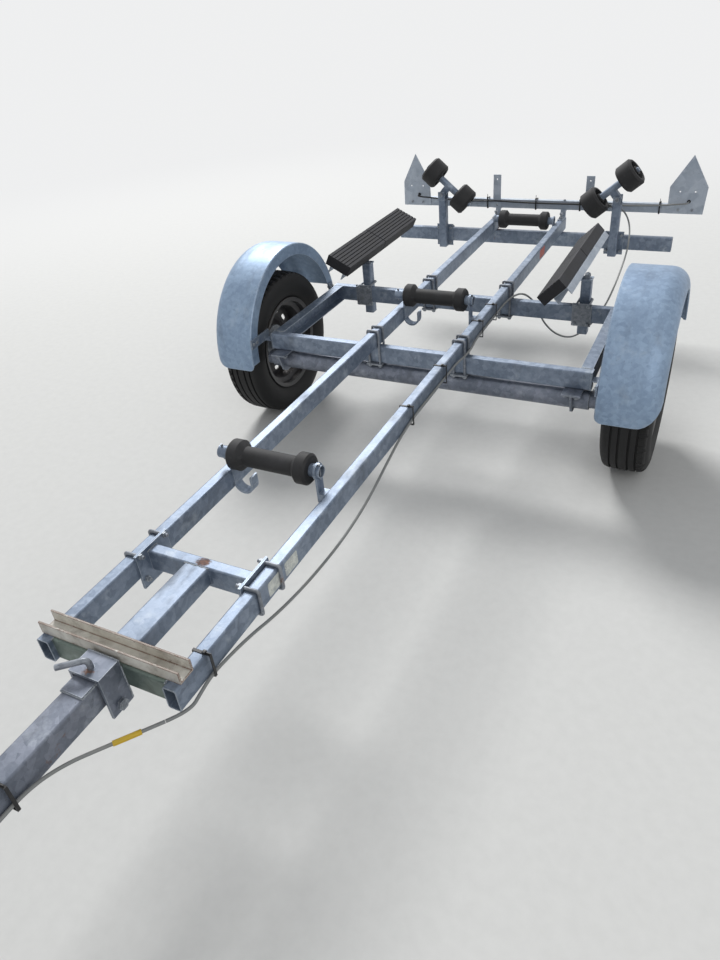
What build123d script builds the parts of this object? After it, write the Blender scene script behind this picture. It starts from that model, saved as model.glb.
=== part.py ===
from build123d import *
import math
import os

# Boat trailer: x to the right, y to the rear from the front ends of the rails, z up from the ground
# All lengths are in millimetres
LEFT = -1
RIGHT = 1
SIDES = {"left": LEFT, "right": RIGHT}

# Wheels and ground
WHEEL_Y = 1690
WHEEL_Z = 274
WHEEL_X = 693
TYRE_WIDTH = 150
RIM_SEAT_RADIUS = 165
RIM_FLANGE_RADIUS = 178
RIM_HALF_WIDTH = 60
BEAD_GAP = 0.3
HUB_BORE_RADIUS = 15.05
SPINDLE_RADIUS = 15
STUD_PITCH_RADIUS = 50
STUD_COUNT = 4
RIM_SLOT_COUNT = 12

# Main rails
RAIL_TOP = 462
RAIL_WIDTH = 30
RAIL_HEIGHT = 54
RAIL_WALL = 2.5
RAIL_X = 152.5
RAIL_LENGTH = 2890
TUBE_CORNER = 5

# Cross beams under the rails
BEAM_HEIGHT = 60
BEAM_DEPTH = 30
BEAM_WALL = 2.5
AXLE_BEAM_Y = 1480
REAR_BEAM_Y = 1986
SUBFRAME_HALF = 570
TAIL_BEAM_Y = 2825
TAIL_BEAM_HALF = 638
SIDE_CHANNEL_FLANGE = 36
SIDE_CHANNEL_THICK = 3
BEAM_TOP = RAIL_TOP - RAIL_HEIGHT
BEAM_FOOT = BEAM_TOP - BEAM_HEIGHT
RAIL_IN = RAIL_X - RAIL_WIDTH / 2
RAIL_OUT = RAIL_X + RAIL_WIDTH / 2

# Torsion axle
AXLE_RADIUS = 30
AXLE_WALL = 4
AXLE_DROP = 10
AXLE_Y = AXLE_BEAM_Y + BEAM_DEPTH / 2
AXLE_Z = BEAM_FOOT - AXLE_DROP - AXLE_RADIUS
AXLE_HALF = 572
ARM_THICK = 22
ARM_HALF_HEIGHT = 24
AXLE_PLATE_THICK = 6
AXLE_PLATE_X = 520

# Mudguards
GUARD_Y = 1712
GUARD_Z = 326
GUARD_RADIUS = 325
GUARD_IN = 604
GUARD_OUT = 784
GUARD_SHEET = 1.6
GUARD_FLANGE = 42
GUARD_LIP = 26
GUARD_ROLL = 20
GUARD_PLATE = 5
GUARD_FORWARD = 88
GUARD_START = 12
GUARD_END = 186

# Front frame
CROSS_FRONT = 10
CROSS_DEPTH = 30
H_BEAM_Y = 284
H_PLATE_THICK = 6
H_PLATE_START = 248
H_PLATE_END = 352
H_PLATE_OVER = 10
H_PLATE_UNDER = 26
CENTRE_TUBE_WIDTH = 60
CENTRE_TUBE_HEIGHT = 44
BOW_CHANNEL_Y = 17
BOW_CHANNEL_DEPTH = 36
BOW_CHANNEL_FLANGE = 28
BOW_CHANNEL_THICK = 3.5

# Clamps
CLAMP_ROD = 4
CLAMP_GAP = 0.3
CLAMP_PLATE_THICK = 5
NUT_RADIUS = 7
NUT_HEIGHT = 6

# Drawbar hinge
PIVOT_Y = -17
PIVOT_Z = RAIL_TOP - 73
PIVOT_RADIUS = 7
PIVOT_PLAY = 0.05
HINGE_INNER = 30
HINGE_PLATE = 6
HINGE_FRONT = -42
HINGE_ROOF_GAP = 9
HINGE_FOOT = RAIL_TOP - 88
SLEEVE_RADIUS = 13
LOCK_PIN_Y = -22
LOCK_PIN_RADIUS = 6

# Drawbar and coupling
DRAWBAR_WIDTH = 50
DRAWBAR_HEIGHT = 60
DRAWBAR_WALL = 3
DRAWBAR_REAR = 0
DRAWBAR_FRONT = -960
COUPLING_Y = -1050
COUPLING_NOSE = 40
BALL_SOCKET_RADIUS = 25.5
TONGUE_THICK = 5

# Jockey wheel
JOCKEY_X = -62
JOCKEY_Y = -620
JOCKEY_TUBE_RADIUS = 24
JOCKEY_TUBE_FOOT = 396
JOCKEY_TUBE_TOP = 760
JOCKEY_STEM_RADIUS = 19
JOCKEY_STEM_TOP = 580
JOCKEY_WHEEL_RADIUS = 100
JOCKEY_WHEEL_WIDTH = 50
JOCKEY_TRAIL = 35
JOCKEY_CROWN = 214

# Keel rollers
KEEL_RADIUS = 39
KEEL_CORE_RADIUS = 25.5
KEEL_LENGTH = 222
KEEL_END = 34
KEEL_BORE = 16.05
KEEL_SPINDLE_RADIUS = 16
KEEL_SPINDLE_WALL = 2.5
KEEL_STRAP = 5
# name, y, height over the rails, middle of the roller, ends of its spindle, outer faces of its two straps
KEEL_ROLLERS = [
    ("front", 626, 42, -19, -168, 120, -137.5, 112),
    ("middle", 1717, 42, -19, -168, 120, -137.5, 112),
    ("rear", 2780, 12, 0, -137.5, 137.5, -137.5, 137.5),
]

# Bunks: name, side, middle of the pad in x and z, tilt in degrees
BUNKS = [
    ("left", LEFT, 457, 556, 26.6),
    ("right", RIGHT, 350, 516, 45),
]
BUNK_START = 1834
BUNK_LENGTH = 656
BUNK_WIDTH = 100
BUNK_PAD_THICK = 22
BUNK_BACK_DEPTH = 25
BUNK_BACK_WIDTH = 60
BUNK_RIBS = 7
BUNK_RIB_DEPTH = 3
BUNK_POST_X = 436
BUNK_POST_SIZE = 36
BUNK_POST_FOOT = 290
BUNK_POST_TOP = 492

# Wobble roller units
WOBBLE_X = 398
WOBBLE_POST = 36
WOBBLE_POST_TOP = 548
WOBBLE_PLATE_WIDTH = 80
WOBBLE_PLATE_HEIGHT = 100
WOBBLE_PIVOT_Z = 574
WOBBLE_TILT = 40
WOBBLE_AXLE_RISE = 46
WOBBLE_ROLLER_RADIUS = 59
WOBBLE_ROLLER_WIDTH = 72
WOBBLE_SPACING = 176
WOBBLE_AXLE_RADIUS = 10
WOBBLE_PLAY = 0.05
WOBBLE_PIN_RADIUS = 6
WOBBLE_CLAMP_OFFSETS = (-30, 30)

# Light board
LIGHT_SHIFT = 50
LIGHT_HALF = 615
LIGHT_BAR_Y = 2893
LIGHT_BAR_DEPTH = 22
LIGHT_BAR_FOOT = 494
LIGHT_BAR_HEIGHT = 38
LIGHT_SHEET = 3
LAMP_PLATE_WIDTH = 142
LAMP_PLATE_SHOULDER = 110
LAMP_PLATE_HEIGHT = 236
NUMBER_STAY_SPACING = 424
NUMBER_STAY_WIDTH = 36
NUMBER_STAY_TOP = 642
NUMBER_HOLE_Z = 622
NUMBER_HOLE_RADIUS = 3
LAMP_HOLE_SPACING = 60
LAMP_HOLE_Z = 585
LAMP_HOLE_RADIUS = 3

# Lighting cable: routes from the plug to the hinge line, and from there to the light board
CABLE_RADIUS = 3.5
TIE_THICK = 1.5
TIE_WIDTH = 6
RAIL_SIDE = RAIL_OUT + CABLE_RADIUS + 0.3
CLAMP_SIDE = RAIL_OUT + 2 * (CLAMP_ROD + CLAMP_GAP) + CABLE_RADIUS + 0.6
DRAWBAR_SIDE = DRAWBAR_WIDTH / 2 + CABLE_RADIUS + 0.3
CROSSING_GAP = 0.5
CROSSING_X = 138
DRAWBAR_CABLE_END = (CROSSING_X - 0.6 * CROSSING_GAP, PIVOT_Y - 0.8 * CROSSING_GAP, PIVOT_Z)
BED_CABLE_START = (CROSSING_X + 0.6 * CROSSING_GAP, PIVOT_Y + 0.8 * CROSSING_GAP, PIVOT_Z)
BEFORE_CROSSING = (110, PIVOT_Y - 36, PIVOT_Z)
AFTER_CROSSING = (166, PIVOT_Y + 36, PIVOT_Z)
RAIL_TIES = (92, 1040, 1300, 1650, 1800)
DRAWBAR_TIES = (-700, -520, -250)
DRAWBAR_CABLE = [
    (DRAWBAR_SIDE + 34, -900, 352),
    (DRAWBAR_SIDE + 34, -850, 352),
    (DRAWBAR_SIDE + 8, -800, 382),
    (DRAWBAR_SIDE, -750, 415),
    (DRAWBAR_SIDE, -650, 417),
    (DRAWBAR_SIDE, -520, 416),
    (DRAWBAR_SIDE, -400, 417),
    (DRAWBAR_SIDE, -300, 416),
    (DRAWBAR_SIDE, -220, 415),
    (DRAWBAR_SIDE + 14, -160, 404),
    (DRAWBAR_SIDE + 44, -104, 392),
    BEFORE_CROSSING,
    DRAWBAR_CABLE_END,
]
BED_CABLE = [
    BED_CABLE_START,
    AFTER_CROSSING,
    (RAIL_SIDE - 1, 50, 404),
    (RAIL_SIDE, 76, 411.8),
    (RAIL_SIDE, 110, 411.8),
    (RAIL_SIDE + 3, 200, 400),
    (178, 300, 374),
    (178, 440, 352),
    (177, 590, 344),
    (176, 730, 358),
    (173, 860, 390),
    (RAIL_SIDE, 960, 414),
    (RAIL_SIDE, 1060, 424),
    (RAIL_SIDE, 1180, 425),
    (RAIL_SIDE, 1300, 424),
    (RAIL_SIDE, 1400, 425),
    (CLAMP_SIDE, 1460, 424),
    (CLAMP_SIDE, 1530, 425),
    (RAIL_SIDE, 1590, 424),
    (RAIL_SIDE, 1700, 425),
    (RAIL_SIDE, 1820, 424),
    (RAIL_SIDE + 1, 1910, 425),
    (CLAMP_SIDE + 2, 1980, 428),
    (CLAMP_SIDE + 30, 2040, 420),
    (260, 2078, 380),
    (320, 2094, 336),
    (390, 2100, 314),
    (460, 2110, 312),
    (520, 2150, 326),
    (552, 2230, 350),
    (560, 2340, 378),
    (558, 2470, 402),
    (552, 2600, 424),
    (540, 2720, 446),
    (520, 2810, 472),
    (500, 2858, 500),
    (500, 2884, 540),
]

# Row place: the trailer is centred along its length
FRONT_TIP = COUPLING_Y - COUPLING_NOSE
REAR_TIP = LIGHT_BAR_Y + LIGHT_BAR_DEPTH
Y_SHIFT = -(FRONT_TIP + REAR_TIP) / 2


# Plain shapes
def block(x, y, z):
    size = Box(x[1] - x[0], y[1] - y[0], z[1] - z[0])
    return Pos((x[0] + x[1]) / 2, (y[0] + y[1]) / 2, (z[0] + z[1]) / 2) * size


def both_ways(side, low, high):
    return (low, high) if side == RIGHT else (-high, -low)


def run_plane(start, end, side):
    return Plane(origin=start, x_dir=side, z_dir=Vector(*end) - Vector(*start))


def rod(start, end, radius):
    run = Vector(*end) - Vector(*start)
    side = (0, 0, 1) if abs(run.Z) < 0.5 * run.length else (1, 0, 0)
    side = Vector(*side).cross(run)
    length = (Vector(*end) - Vector(*start)).length
    return extrude(run_plane(start, end, side) * Circle(radius), length)


def pipe(start, end, outer, inner):
    return rod(start, end, outer) - rod(start, end, inner)


def square_tube(start, end, side, width, height, wall):
    hollow = RectangleRounded(width - 2 * wall, height - 2 * wall, TUBE_CORNER - wall * 0.9)
    skin = RectangleRounded(width, height, TUBE_CORNER) - hollow
    length = (Vector(*end) - Vector(*start)).length
    return extrude(run_plane(start, end, side) * skin, length)


def swept_rod(points, radii, radius):
    path = FilletPolyline(*points, radius=radii)
    section = Plane(origin=path @ 0, z_dir=path % 0) * Circle(radius)
    return sweep(section, path=path)


def ring(x, y, z, half, outer, inner):
    return pipe((x - half, y, z), (x + half, y, z), outer, inner)


def spun(points, x, y, z):
    outline = Plane(origin=(x, y, z), x_dir=(1, 0, 0), z_dir=(0, -1, 0)) * make_face(Polyline(*points, close=True))
    return revolve(outline, axis=Axis((x, y, z), (1, 0, 0)))


def welded(pieces):
    whole = pieces[0]
    for piece in pieces[1:]:
        whole += piece
    return whole


# Rails and cross beams
def rail(side):
    z = RAIL_TOP - RAIL_HEIGHT / 2
    x = side * RAIL_X
    return square_tube((x, 0, z), (x, RAIL_LENGTH, z), (1, 0, 0), RAIL_WIDTH, RAIL_HEIGHT, RAIL_WALL)


def cross_beam(y, half):
    z = BEAM_TOP - BEAM_HEIGHT / 2
    middle = y + BEAM_DEPTH / 2
    return square_tube((-half, middle, z), (half, middle, z), (0, 1, 0), BEAM_DEPTH, BEAM_HEIGHT, BEAM_WALL)


def front_crossmember():
    z = RAIL_TOP - RAIL_HEIGHT / 2
    y = CROSS_FRONT + CROSS_DEPTH / 2
    return square_tube((-RAIL_IN, y, z), (RAIL_IN, y, z), (0, 1, 0), CROSS_DEPTH, RAIL_HEIGHT, RAIL_WALL)


def centre_tube():
    z = RAIL_TOP - CENTRE_TUBE_HEIGHT / 2
    start = (0, CROSS_FRONT + CROSS_DEPTH, z)
    return square_tube(start, (0, H_BEAM_Y, z), (1, 0, 0), CENTRE_TUBE_WIDTH, CENTRE_TUBE_HEIGHT, RAIL_WALL)


def h_crossmember():
    z = RAIL_TOP - RAIL_HEIGHT / 2
    y = H_BEAM_Y + CROSS_DEPTH / 2
    half = RAIL_IN - H_PLATE_THICK
    bar = square_tube((-half, y, z), (half, y, z), (0, 1, 0), CROSS_DEPTH, RAIL_HEIGHT, RAIL_WALL)
    for side in SIDES.values():
        bar += h_plate(side)
    return bar


def h_plate(side):
    x = both_ways(side, RAIL_IN - H_PLATE_THICK, RAIL_IN)
    z = (RAIL_TOP - RAIL_HEIGHT - H_PLATE_UNDER, RAIL_TOP + H_PLATE_OVER)
    plate = block(x, (H_PLATE_START, H_PLATE_END), z)
    for y in h_clamp_places():
        for height in h_leg_heights():
            hole = rod((side * (RAIL_IN - 20), y, height), (side * (RAIL_IN + 1), y, height), CLAMP_ROD + CLAMP_GAP)
            plate -= hole
    return plate


def h_clamp_places():
    return (H_PLATE_START + 12, H_PLATE_END - 12)


def h_leg_heights():
    reach = CLAMP_ROD + CLAMP_GAP
    return (RAIL_TOP - RAIL_HEIGHT - reach, RAIL_TOP + reach)


def h_clamps():
    parts = []
    low, high = h_leg_heights()
    bend = RAIL_OUT + CLAMP_ROD + CLAMP_GAP
    end = RAIL_IN - H_PLATE_THICK - NUT_HEIGHT - 6
    for side in SIDES.values():
        for y in h_clamp_places():
            points = [(side * end, y, low), (side * bend, y, low), (side * bend, y, high), (side * end, y, high)]
            parts.append(swept_rod(points, CLAMP_ROD * 1.5, CLAMP_ROD))
            for z in (low, high):
                face = side * (RAIL_IN - H_PLATE_THICK)
                parts.append(nut((face, y, z), (face - side * NUT_HEIGHT, y, z)))
    return parts


def nut(start, end):
    plane = run_plane(start, end, (0, 1, 0) if abs(end[1] - start[1]) < 1 else (1, 0, 0))
    length = (Vector(*end) - Vector(*start)).length
    hexagon = RegularPolygon(NUT_RADIUS, 6) - Circle(CLAMP_ROD)
    return extrude(plane * hexagon, length)


def rail_clamp_lines():
    lines = []
    reach = CLAMP_ROD + CLAMP_GAP
    for y in (AXLE_BEAM_Y, REAR_BEAM_Y):
        for side in SIDES.values():
            for place in (y - reach, y + BEAM_DEPTH + reach):
                lines.append((side, y, place))
    return lines


def rail_u_bolts():
    parts = []
    reach = CLAMP_ROD + CLAMP_GAP
    low = BEAM_FOOT - CLAMP_PLATE_THICK
    end = low - NUT_HEIGHT - 2
    top = RAIL_TOP + reach
    for side, y, place in rail_clamp_lines():
        inner = side * (RAIL_IN - reach)
        outer = side * (RAIL_OUT + reach)
        points = [(inner, place, end), (inner, place, top), (outer, place, top), (outer, place, end)]
        parts.append(swept_rod(points, CLAMP_ROD * 1.5, CLAMP_ROD))
        for x in (inner, outer):
            parts.append(nut((x, place, low), (x, place, low - NUT_HEIGHT)))
    return parts


def clamp_plates():
    parts = [bunk_clamp_plate(side) for side in SIDES.values()]
    reach = CLAMP_ROD + CLAMP_GAP
    for y in (AXLE_BEAM_Y, REAR_BEAM_Y):
        for side in SIDES.values():
            span = both_ways(side, RAIL_IN - 3 * reach, RAIL_OUT + 3 * reach)
            plate = block(span, (y - 3 * reach, y + BEAM_DEPTH + 3 * reach), (BEAM_FOOT - CLAMP_PLATE_THICK, BEAM_FOOT))
            for place in (y - reach, y + BEAM_DEPTH + reach):
                for x in (side * (RAIL_IN - reach), side * (RAIL_OUT + reach)):
                    plate -= rod((x, place, BEAM_FOOT - 20), (x, place, BEAM_FOOT + 1), CLAMP_ROD + CLAMP_GAP)
            parts.append(plate)
    return parts


def bow_channel():
    y = (BOW_CHANNEL_Y, BOW_CHANNEL_Y + BOW_CHANNEL_DEPTH)
    x = (-RAIL_OUT, RAIL_OUT)
    whole = block(x, y, (RAIL_TOP, RAIL_TOP + BOW_CHANNEL_FLANGE))
    inside = (y[0] + BOW_CHANNEL_THICK, y[1] - BOW_CHANNEL_THICK)
    return whole - block((x[0] - 1, x[1] + 1), inside, (RAIL_TOP + BOW_CHANNEL_THICK, RAIL_TOP + 99))


def side_channel(side):
    x = both_ways(side, SUBFRAME_HALF - SIDE_CHANNEL_FLANGE, SUBFRAME_HALF)
    y = (AXLE_BEAM_Y + BEAM_DEPTH, REAR_BEAM_Y)
    whole = block(x, y, (BEAM_FOOT, BEAM_TOP))
    hollow = both_ways(side, SUBFRAME_HALF - SIDE_CHANNEL_FLANGE - 1, SUBFRAME_HALF - SIDE_CHANNEL_THICK)
    inside = (BEAM_FOOT + SIDE_CHANNEL_THICK, BEAM_TOP - SIDE_CHANNEL_THICK)
    return whole - block(hollow, (y[0] - 1, y[1] + 1), inside)


# Torsion axle
def axle_tube():
    return pipe((-AXLE_HALF, AXLE_Y, AXLE_Z), (AXLE_HALF, AXLE_Y, AXLE_Z), AXLE_RADIUS, AXLE_RADIUS - AXLE_WALL)


def axle_brackets():
    parts = []
    for side in SIDES.values():
        x = both_ways(side, AXLE_PLATE_X, AXLE_PLATE_X + AXLE_PLATE_THICK)
        outline = [
            (AXLE_Y - 62, BEAM_FOOT), (AXLE_Y + 62, BEAM_FOOT), (AXLE_Y + 40, AXLE_Z - 26),
            (AXLE_Y + 18, AXLE_Z - 38), (AXLE_Y - 18, AXLE_Z - 38), (AXLE_Y - 40, AXLE_Z - 26),
        ]
        plane = Plane(origin=(x[0], 0, 0), x_dir=(0, 1, 0), z_dir=(1, 0, 0))
        plate = extrude(plane * make_face(Polyline(*outline, close=True)), AXLE_PLATE_THICK)
        plate -= rod((x[0] - 1, AXLE_Y, AXLE_Z), (x[1] + 1, AXLE_Y, AXLE_Z), AXLE_RADIUS)
        plate += block(both_ways(side, AXLE_PLATE_X - 26, AXLE_PLATE_X + 32), (AXLE_Y - 62, AXLE_Y + 62), (BEAM_FOOT - 5, BEAM_FOOT)) - rod((x[0] - 60, AXLE_Y, AXLE_Z), (x[1] + 60, AXLE_Y, AXLE_Z), AXLE_RADIUS)
        parts.append(plate)
    return parts


def swing_arm(side):
    x = both_ways(side, AXLE_HALF, AXLE_HALF + ARM_THICK)
    plane = Plane(origin=(x[0], 0, 0), x_dir=(0, 1, 0), z_dir=(1, 0, 0))
    run = Vector(WHEEL_Y - AXLE_Y, WHEEL_Z - AXLE_Z)
    angle = math.degrees(math.atan2(run.Y, run.X))
    middle = Pos((WHEEL_Y + AXLE_Y) / 2, (WHEEL_Z + AXLE_Z) / 2) * Rot(0, 0, angle)
    outline = middle * SlotCenterToCenter(run.length, 2 * ARM_HALF_HEIGHT)
    arm = extrude(plane * outline, ARM_THICK)
    near = side * (AXLE_HALF + ARM_THICK - 2)
    arm += rod((near, WHEEL_Y, WHEEL_Z), (side * (WHEEL_X + 22), WHEEL_Y, WHEEL_Z), SPINDLE_RADIUS)
    return arm


# Wheels
def tyre(side):
    x = side * WHEEL_X
    half = TYRE_WIDTH / 2
    bead = RIM_SEAT_RADIUS + BEAD_GAP
    top = WHEEL_Z
    right_half = [
        (53.5, bead), (53.5, RIM_FLANGE_RADIUS - 2.5), (57, RIM_FLANGE_RADIUS + 4), (66, 196), (half - 2, 216), (half, 232), (half - 3, 250),
        (half - 9, 263), (half - 18, top - 3), (30, top),
    ]
    outline = [(-a, b) for a, b in right_half] + right_half[::-1]
    inner = [(44, bead), (52, 190), (63, 214), (64, 234), (56, 254), (40, 262)]
    inside = [(a, b) for a, b in inner] + [(-a, b) for a, b in inner[::-1]]
    return spun(outline[::-1], x, WHEEL_Y, WHEEL_Z) - spun(inside, x, WHEEL_Y, WHEEL_Z)


def rim(side):
    x = side * WHEEL_X
    half = RIM_HALF_WIDTH
    seat = RIM_SEAT_RADIUS
    lip = RIM_FLANGE_RADIUS
    well = seat - 18
    t = 3
    right_half = [(26, well), (32, seat), (half - 6, seat), (half - 6, lip - 4), (half - 1, lip)]
    lower = [(half + 2, lip - 1), (half - 2, seat - t), (35, seat - t), (29, well - t)]
    outline = [(-a, b) for a, b in right_half[::-1]] + right_half + lower + [(-a, b) for a, b in lower[::-1]]
    barrel = spun(outline, x, WHEEL_Y, WHEEL_Z)
    s = side
    disc_outline = [
        (s * 24, 30), (s * 24, 64), (s * 34, 84), (s * 34, 104), (s * 26, 130), (s * 26, well - 1),
        (s * 22, well - 1), (s * 22, 128), (s * 30, 102), (s * 30, 86), (s * 20, 66), (s * 20, 30),
    ]
    disc = spun(disc_outline, x, WHEEL_Y, WHEEL_Z)
    for index in range(RIM_SLOT_COUNT):
        disc -= radial_cut(x + s * 26, 360 / RIM_SLOT_COUNT * index, 118, 7, 15)
    for index in range(STUD_COUNT):
        disc -= radial_cut(x + s * 22, 360 / STUD_COUNT * index + 45, STUD_PITCH_RADIUS, 6.5, 6.5)
    return barrel + disc


def radial_cut(x, angle, radius, half_radial, half_round):
    turn = math.radians(angle)
    y = WHEEL_Y + radius * math.cos(turn)
    z = WHEEL_Z + radius * math.sin(turn)
    plane = Plane(origin=(x - 20, y, z), x_dir=(0, math.cos(turn), math.sin(turn)), z_dir=(1, 0, 0))
    if half_radial == half_round:
        return extrude(plane * Circle(half_round), 40)
    return extrude(plane * RectangleRounded(2 * half_radial, 2 * half_round, half_radial * 0.8), 40)


def hub(side):
    x = side * WHEEL_X
    s = side
    outline = [
        (s * -66, HUB_BORE_RADIUS), (s * -66, 38), (s * 10, 38), (s * 10, 63), (s * 19.7, 63),
        (s * 19.7, 29), (s * 46, 27), (s * 52, 20), (s * 52, 0.01), (s * 49, 0.01), (s * 24, HUB_BORE_RADIUS),
    ]
    body = spun(outline, x, WHEEL_Y, WHEEL_Z)
    for index in range(STUD_COUNT):
        turn = math.radians(360 / STUD_COUNT * index + 45)
        y = WHEEL_Y + STUD_PITCH_RADIUS * math.cos(turn)
        z = WHEEL_Z + STUD_PITCH_RADIUS * math.sin(turn)
        body += rod((x + s * 18, y, z), (x + s * 36, y, z), 6)
    return body


# Mudguards
def mudguard(side):
    low = GUARD_RADIUS - GUARD_FLANGE
    lip = GUARD_RADIUS - GUARD_LIP
    roll = GUARD_ROLL * (1 - math.sqrt(0.5))
    t = GUARD_SHEET
    points = [(GUARD_IN, low), (GUARD_IN, GUARD_RADIUS), (GUARD_OUT - GUARD_ROLL, GUARD_RADIUS)]
    outer_edge = Polyline(*points)
    bend = ThreePointArc(points[2], (GUARD_OUT - roll, GUARD_RADIUS - roll), (GUARD_OUT, GUARD_RADIUS - GUARD_ROLL))
    inner_roll = (GUARD_ROLL - t) * (1 - math.sqrt(0.5))
    under = ThreePointArc(
        (GUARD_OUT - t, GUARD_RADIUS - GUARD_ROLL),
        (GUARD_OUT - t - inner_roll, GUARD_RADIUS - t - inner_roll),
        (GUARD_OUT - GUARD_ROLL, GUARD_RADIUS - t),
    )
    lip_edge = Polyline((GUARD_OUT, GUARD_RADIUS - GUARD_ROLL), (GUARD_OUT, lip), (GUARD_OUT - t, lip),
                        (GUARD_OUT - t, GUARD_RADIUS - GUARD_ROLL))
    inner_edge = Polyline((GUARD_OUT - GUARD_ROLL, GUARD_RADIUS - t), (GUARD_IN + t, GUARD_RADIUS - t),
                          (GUARD_IN + t, low), (GUARD_IN, low))
    outline = make_face(outer_edge + bend + lip_edge + under + inner_edge)
    turn = math.radians(GUARD_START)
    plane = Plane(origin=(0, GUARD_Y, GUARD_Z), x_dir=(1, 0, 0), z_dir=(0, -math.sin(turn), math.cos(turn)))
    guard = revolve(plane * outline, axis=Axis((0, GUARD_Y, GUARD_Z), (1, 0, 0)), revolution_arc=GUARD_END - GUARD_START)
    return guard if side == RIGHT else mirror(guard, about=Plane.YZ)


def guard_brackets(y, forward):
    parts = []
    low = BEAM_TOP - 30
    for side in SIDES.values():
        cap = block(both_ways(side, SUBFRAME_HALF, SUBFRAME_HALF + 4), (y, y + BEAM_DEPTH), (BEAM_FOOT, BEAM_TOP))
        arm = block(both_ways(side, SUBFRAME_HALF, GUARD_IN), (y, y + BEAM_DEPTH), (low, low + 5))
        upright = both_ways(side, GUARD_IN - GUARD_PLATE, GUARD_IN)
        parts.append(cap + arm + block(upright, (y - forward, y + BEAM_DEPTH), (low, BEAM_TOP + 4)))
    return parts


# Hinge between bed and drawbar
def hinge_bracket():
    width = HINGE_INNER + HINGE_PLATE
    roof = RAIL_TOP + HINGE_ROOF_GAP
    shell = block((-width, width), (HINGE_FRONT, CROSS_FRONT), (HINGE_FOOT, roof + HINGE_PLATE))
    shell -= block((-HINGE_INNER, HINGE_INNER), (HINGE_FRONT - 1, CROSS_FRONT + 1), (HINGE_FOOT - 1, roof))
    shell -= rod((-width - 1, PIVOT_Y, PIVOT_Z), (width + 1, PIVOT_Y, PIVOT_Z), PIVOT_RADIUS)
    shell -= rod((0, LOCK_PIN_Y, roof - 1), (0, LOCK_PIN_Y, roof + 9), LOCK_PIN_RADIUS + CLAMP_GAP)
    return shell


def pivot_bolt():
    width = HINGE_INNER + HINGE_PLATE
    bolt = rod((-width - 8, PIVOT_Y, PIVOT_Z), (width + 8, PIVOT_Y, PIVOT_Z), PIVOT_RADIUS)
    plane = run_plane((width, PIVOT_Y, PIVOT_Z), (width + 8, PIVOT_Y, PIVOT_Z), (0, 1, 0))
    bolt += extrude(plane * RegularPolygon(12, 6), 7)
    plane = run_plane((-width, PIVOT_Y, PIVOT_Z), (-width - 8, PIVOT_Y, PIVOT_Z), (0, 1, 0))
    return bolt + extrude(plane * RegularPolygon(12, 6), 7)


def lock_pin():
    roof = RAIL_TOP + HINGE_ROOF_GAP
    top = roof + 26
    points = [(0, LOCK_PIN_Y, roof + 0.5), (0, LOCK_PIN_Y, top), (-46, LOCK_PIN_Y - 34, top - 4)]
    return swept_rod(points, 9, LOCK_PIN_RADIUS)


# Drawbar
def drawbar():
    z = RAIL_TOP - DRAWBAR_HEIGHT / 2
    tube = square_tube((0, DRAWBAR_FRONT, z), (0, DRAWBAR_REAR, z), (1, 0, 0), DRAWBAR_WIDTH, DRAWBAR_HEIGHT, DRAWBAR_WALL)
    return tube


def drawbar_heel():
    half = HINGE_INNER - 1
    sleeve = rod((-half, PIVOT_Y, PIVOT_Z), (half, PIVOT_Y, PIVOT_Z), SLEEVE_RADIUS)
    foot = RAIL_TOP - DRAWBAR_HEIGHT
    saddle = block((-DRAWBAR_WIDTH / 2, DRAWBAR_WIDTH / 2), (PIVOT_Y - 11, PIVOT_Y + 11), (PIVOT_Z, foot))
    bore = rod((-half - 1, PIVOT_Y, PIVOT_Z), (half + 1, PIVOT_Y, PIVOT_Z), PIVOT_RADIUS + PIVOT_PLAY)
    return sleeve + saddle - bore


def tongue_plate():
    plate = block((-DRAWBAR_WIDTH / 2, DRAWBAR_WIDTH / 2), (-75, -10), (RAIL_TOP, RAIL_TOP + TONGUE_THICK))
    return plate - rod((0, LOCK_PIN_Y, RAIL_TOP - 1), (0, LOCK_PIN_Y, RAIL_TOP + 9), LOCK_PIN_RADIUS + CLAMP_GAP)


def coupling_head():
    z = RAIL_TOP - DRAWBAR_HEIGHT / 2
    half = DRAWBAR_WIDTH / 2
    skin = half + 3.5
    body = block((-skin, skin), (DRAWBAR_FRONT - 24, DRAWBAR_FRONT + 90), (RAIL_TOP - DRAWBAR_HEIGHT - 3.5, RAIL_TOP + 3.5))
    body -= block((-half - 0.3, half + 0.3), (DRAWBAR_FRONT, DRAWBAR_FRONT + 91), (RAIL_TOP - DRAWBAR_HEIGHT - 0.3, RAIL_TOP + 0.3))
    neck = block((-skin, skin), (COUPLING_Y, DRAWBAR_FRONT - 20), (z - 18, RAIL_TOP + 3.5))
    cup = Pos(0, COUPLING_Y, z + 8) * Sphere(BALL_SOCKET_RADIUS + 8)
    cup &= block((-60, 60), (COUPLING_Y - 60, COUPLING_Y + 60), (z - 6, z + 60))
    nose = extrude(Plane(origin=(0, COUPLING_Y, z - 6)) * Circle(COUPLING_NOSE), 7)
    body = body + neck + cup + nose
    body -= Pos(0, COUPLING_Y, z + 2) * Sphere(BALL_SOCKET_RADIUS)
    throat = extrude(Plane(origin=(0, COUPLING_Y, z - 40)) * Circle(BALL_SOCKET_RADIUS), 42)
    return body - throat


def coupling_lever():
    z = RAIL_TOP + 3.5
    points = [(0, COUPLING_Y + 52, z - 4), (0, COUPLING_Y + 30, z + 34), (0, COUPLING_Y + 150, z + 44)]
    grip = swept_rod(points, 12, 7)
    return grip - block((-20, 20), (COUPLING_Y, COUPLING_Y + 90), (z - 20, z))


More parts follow.
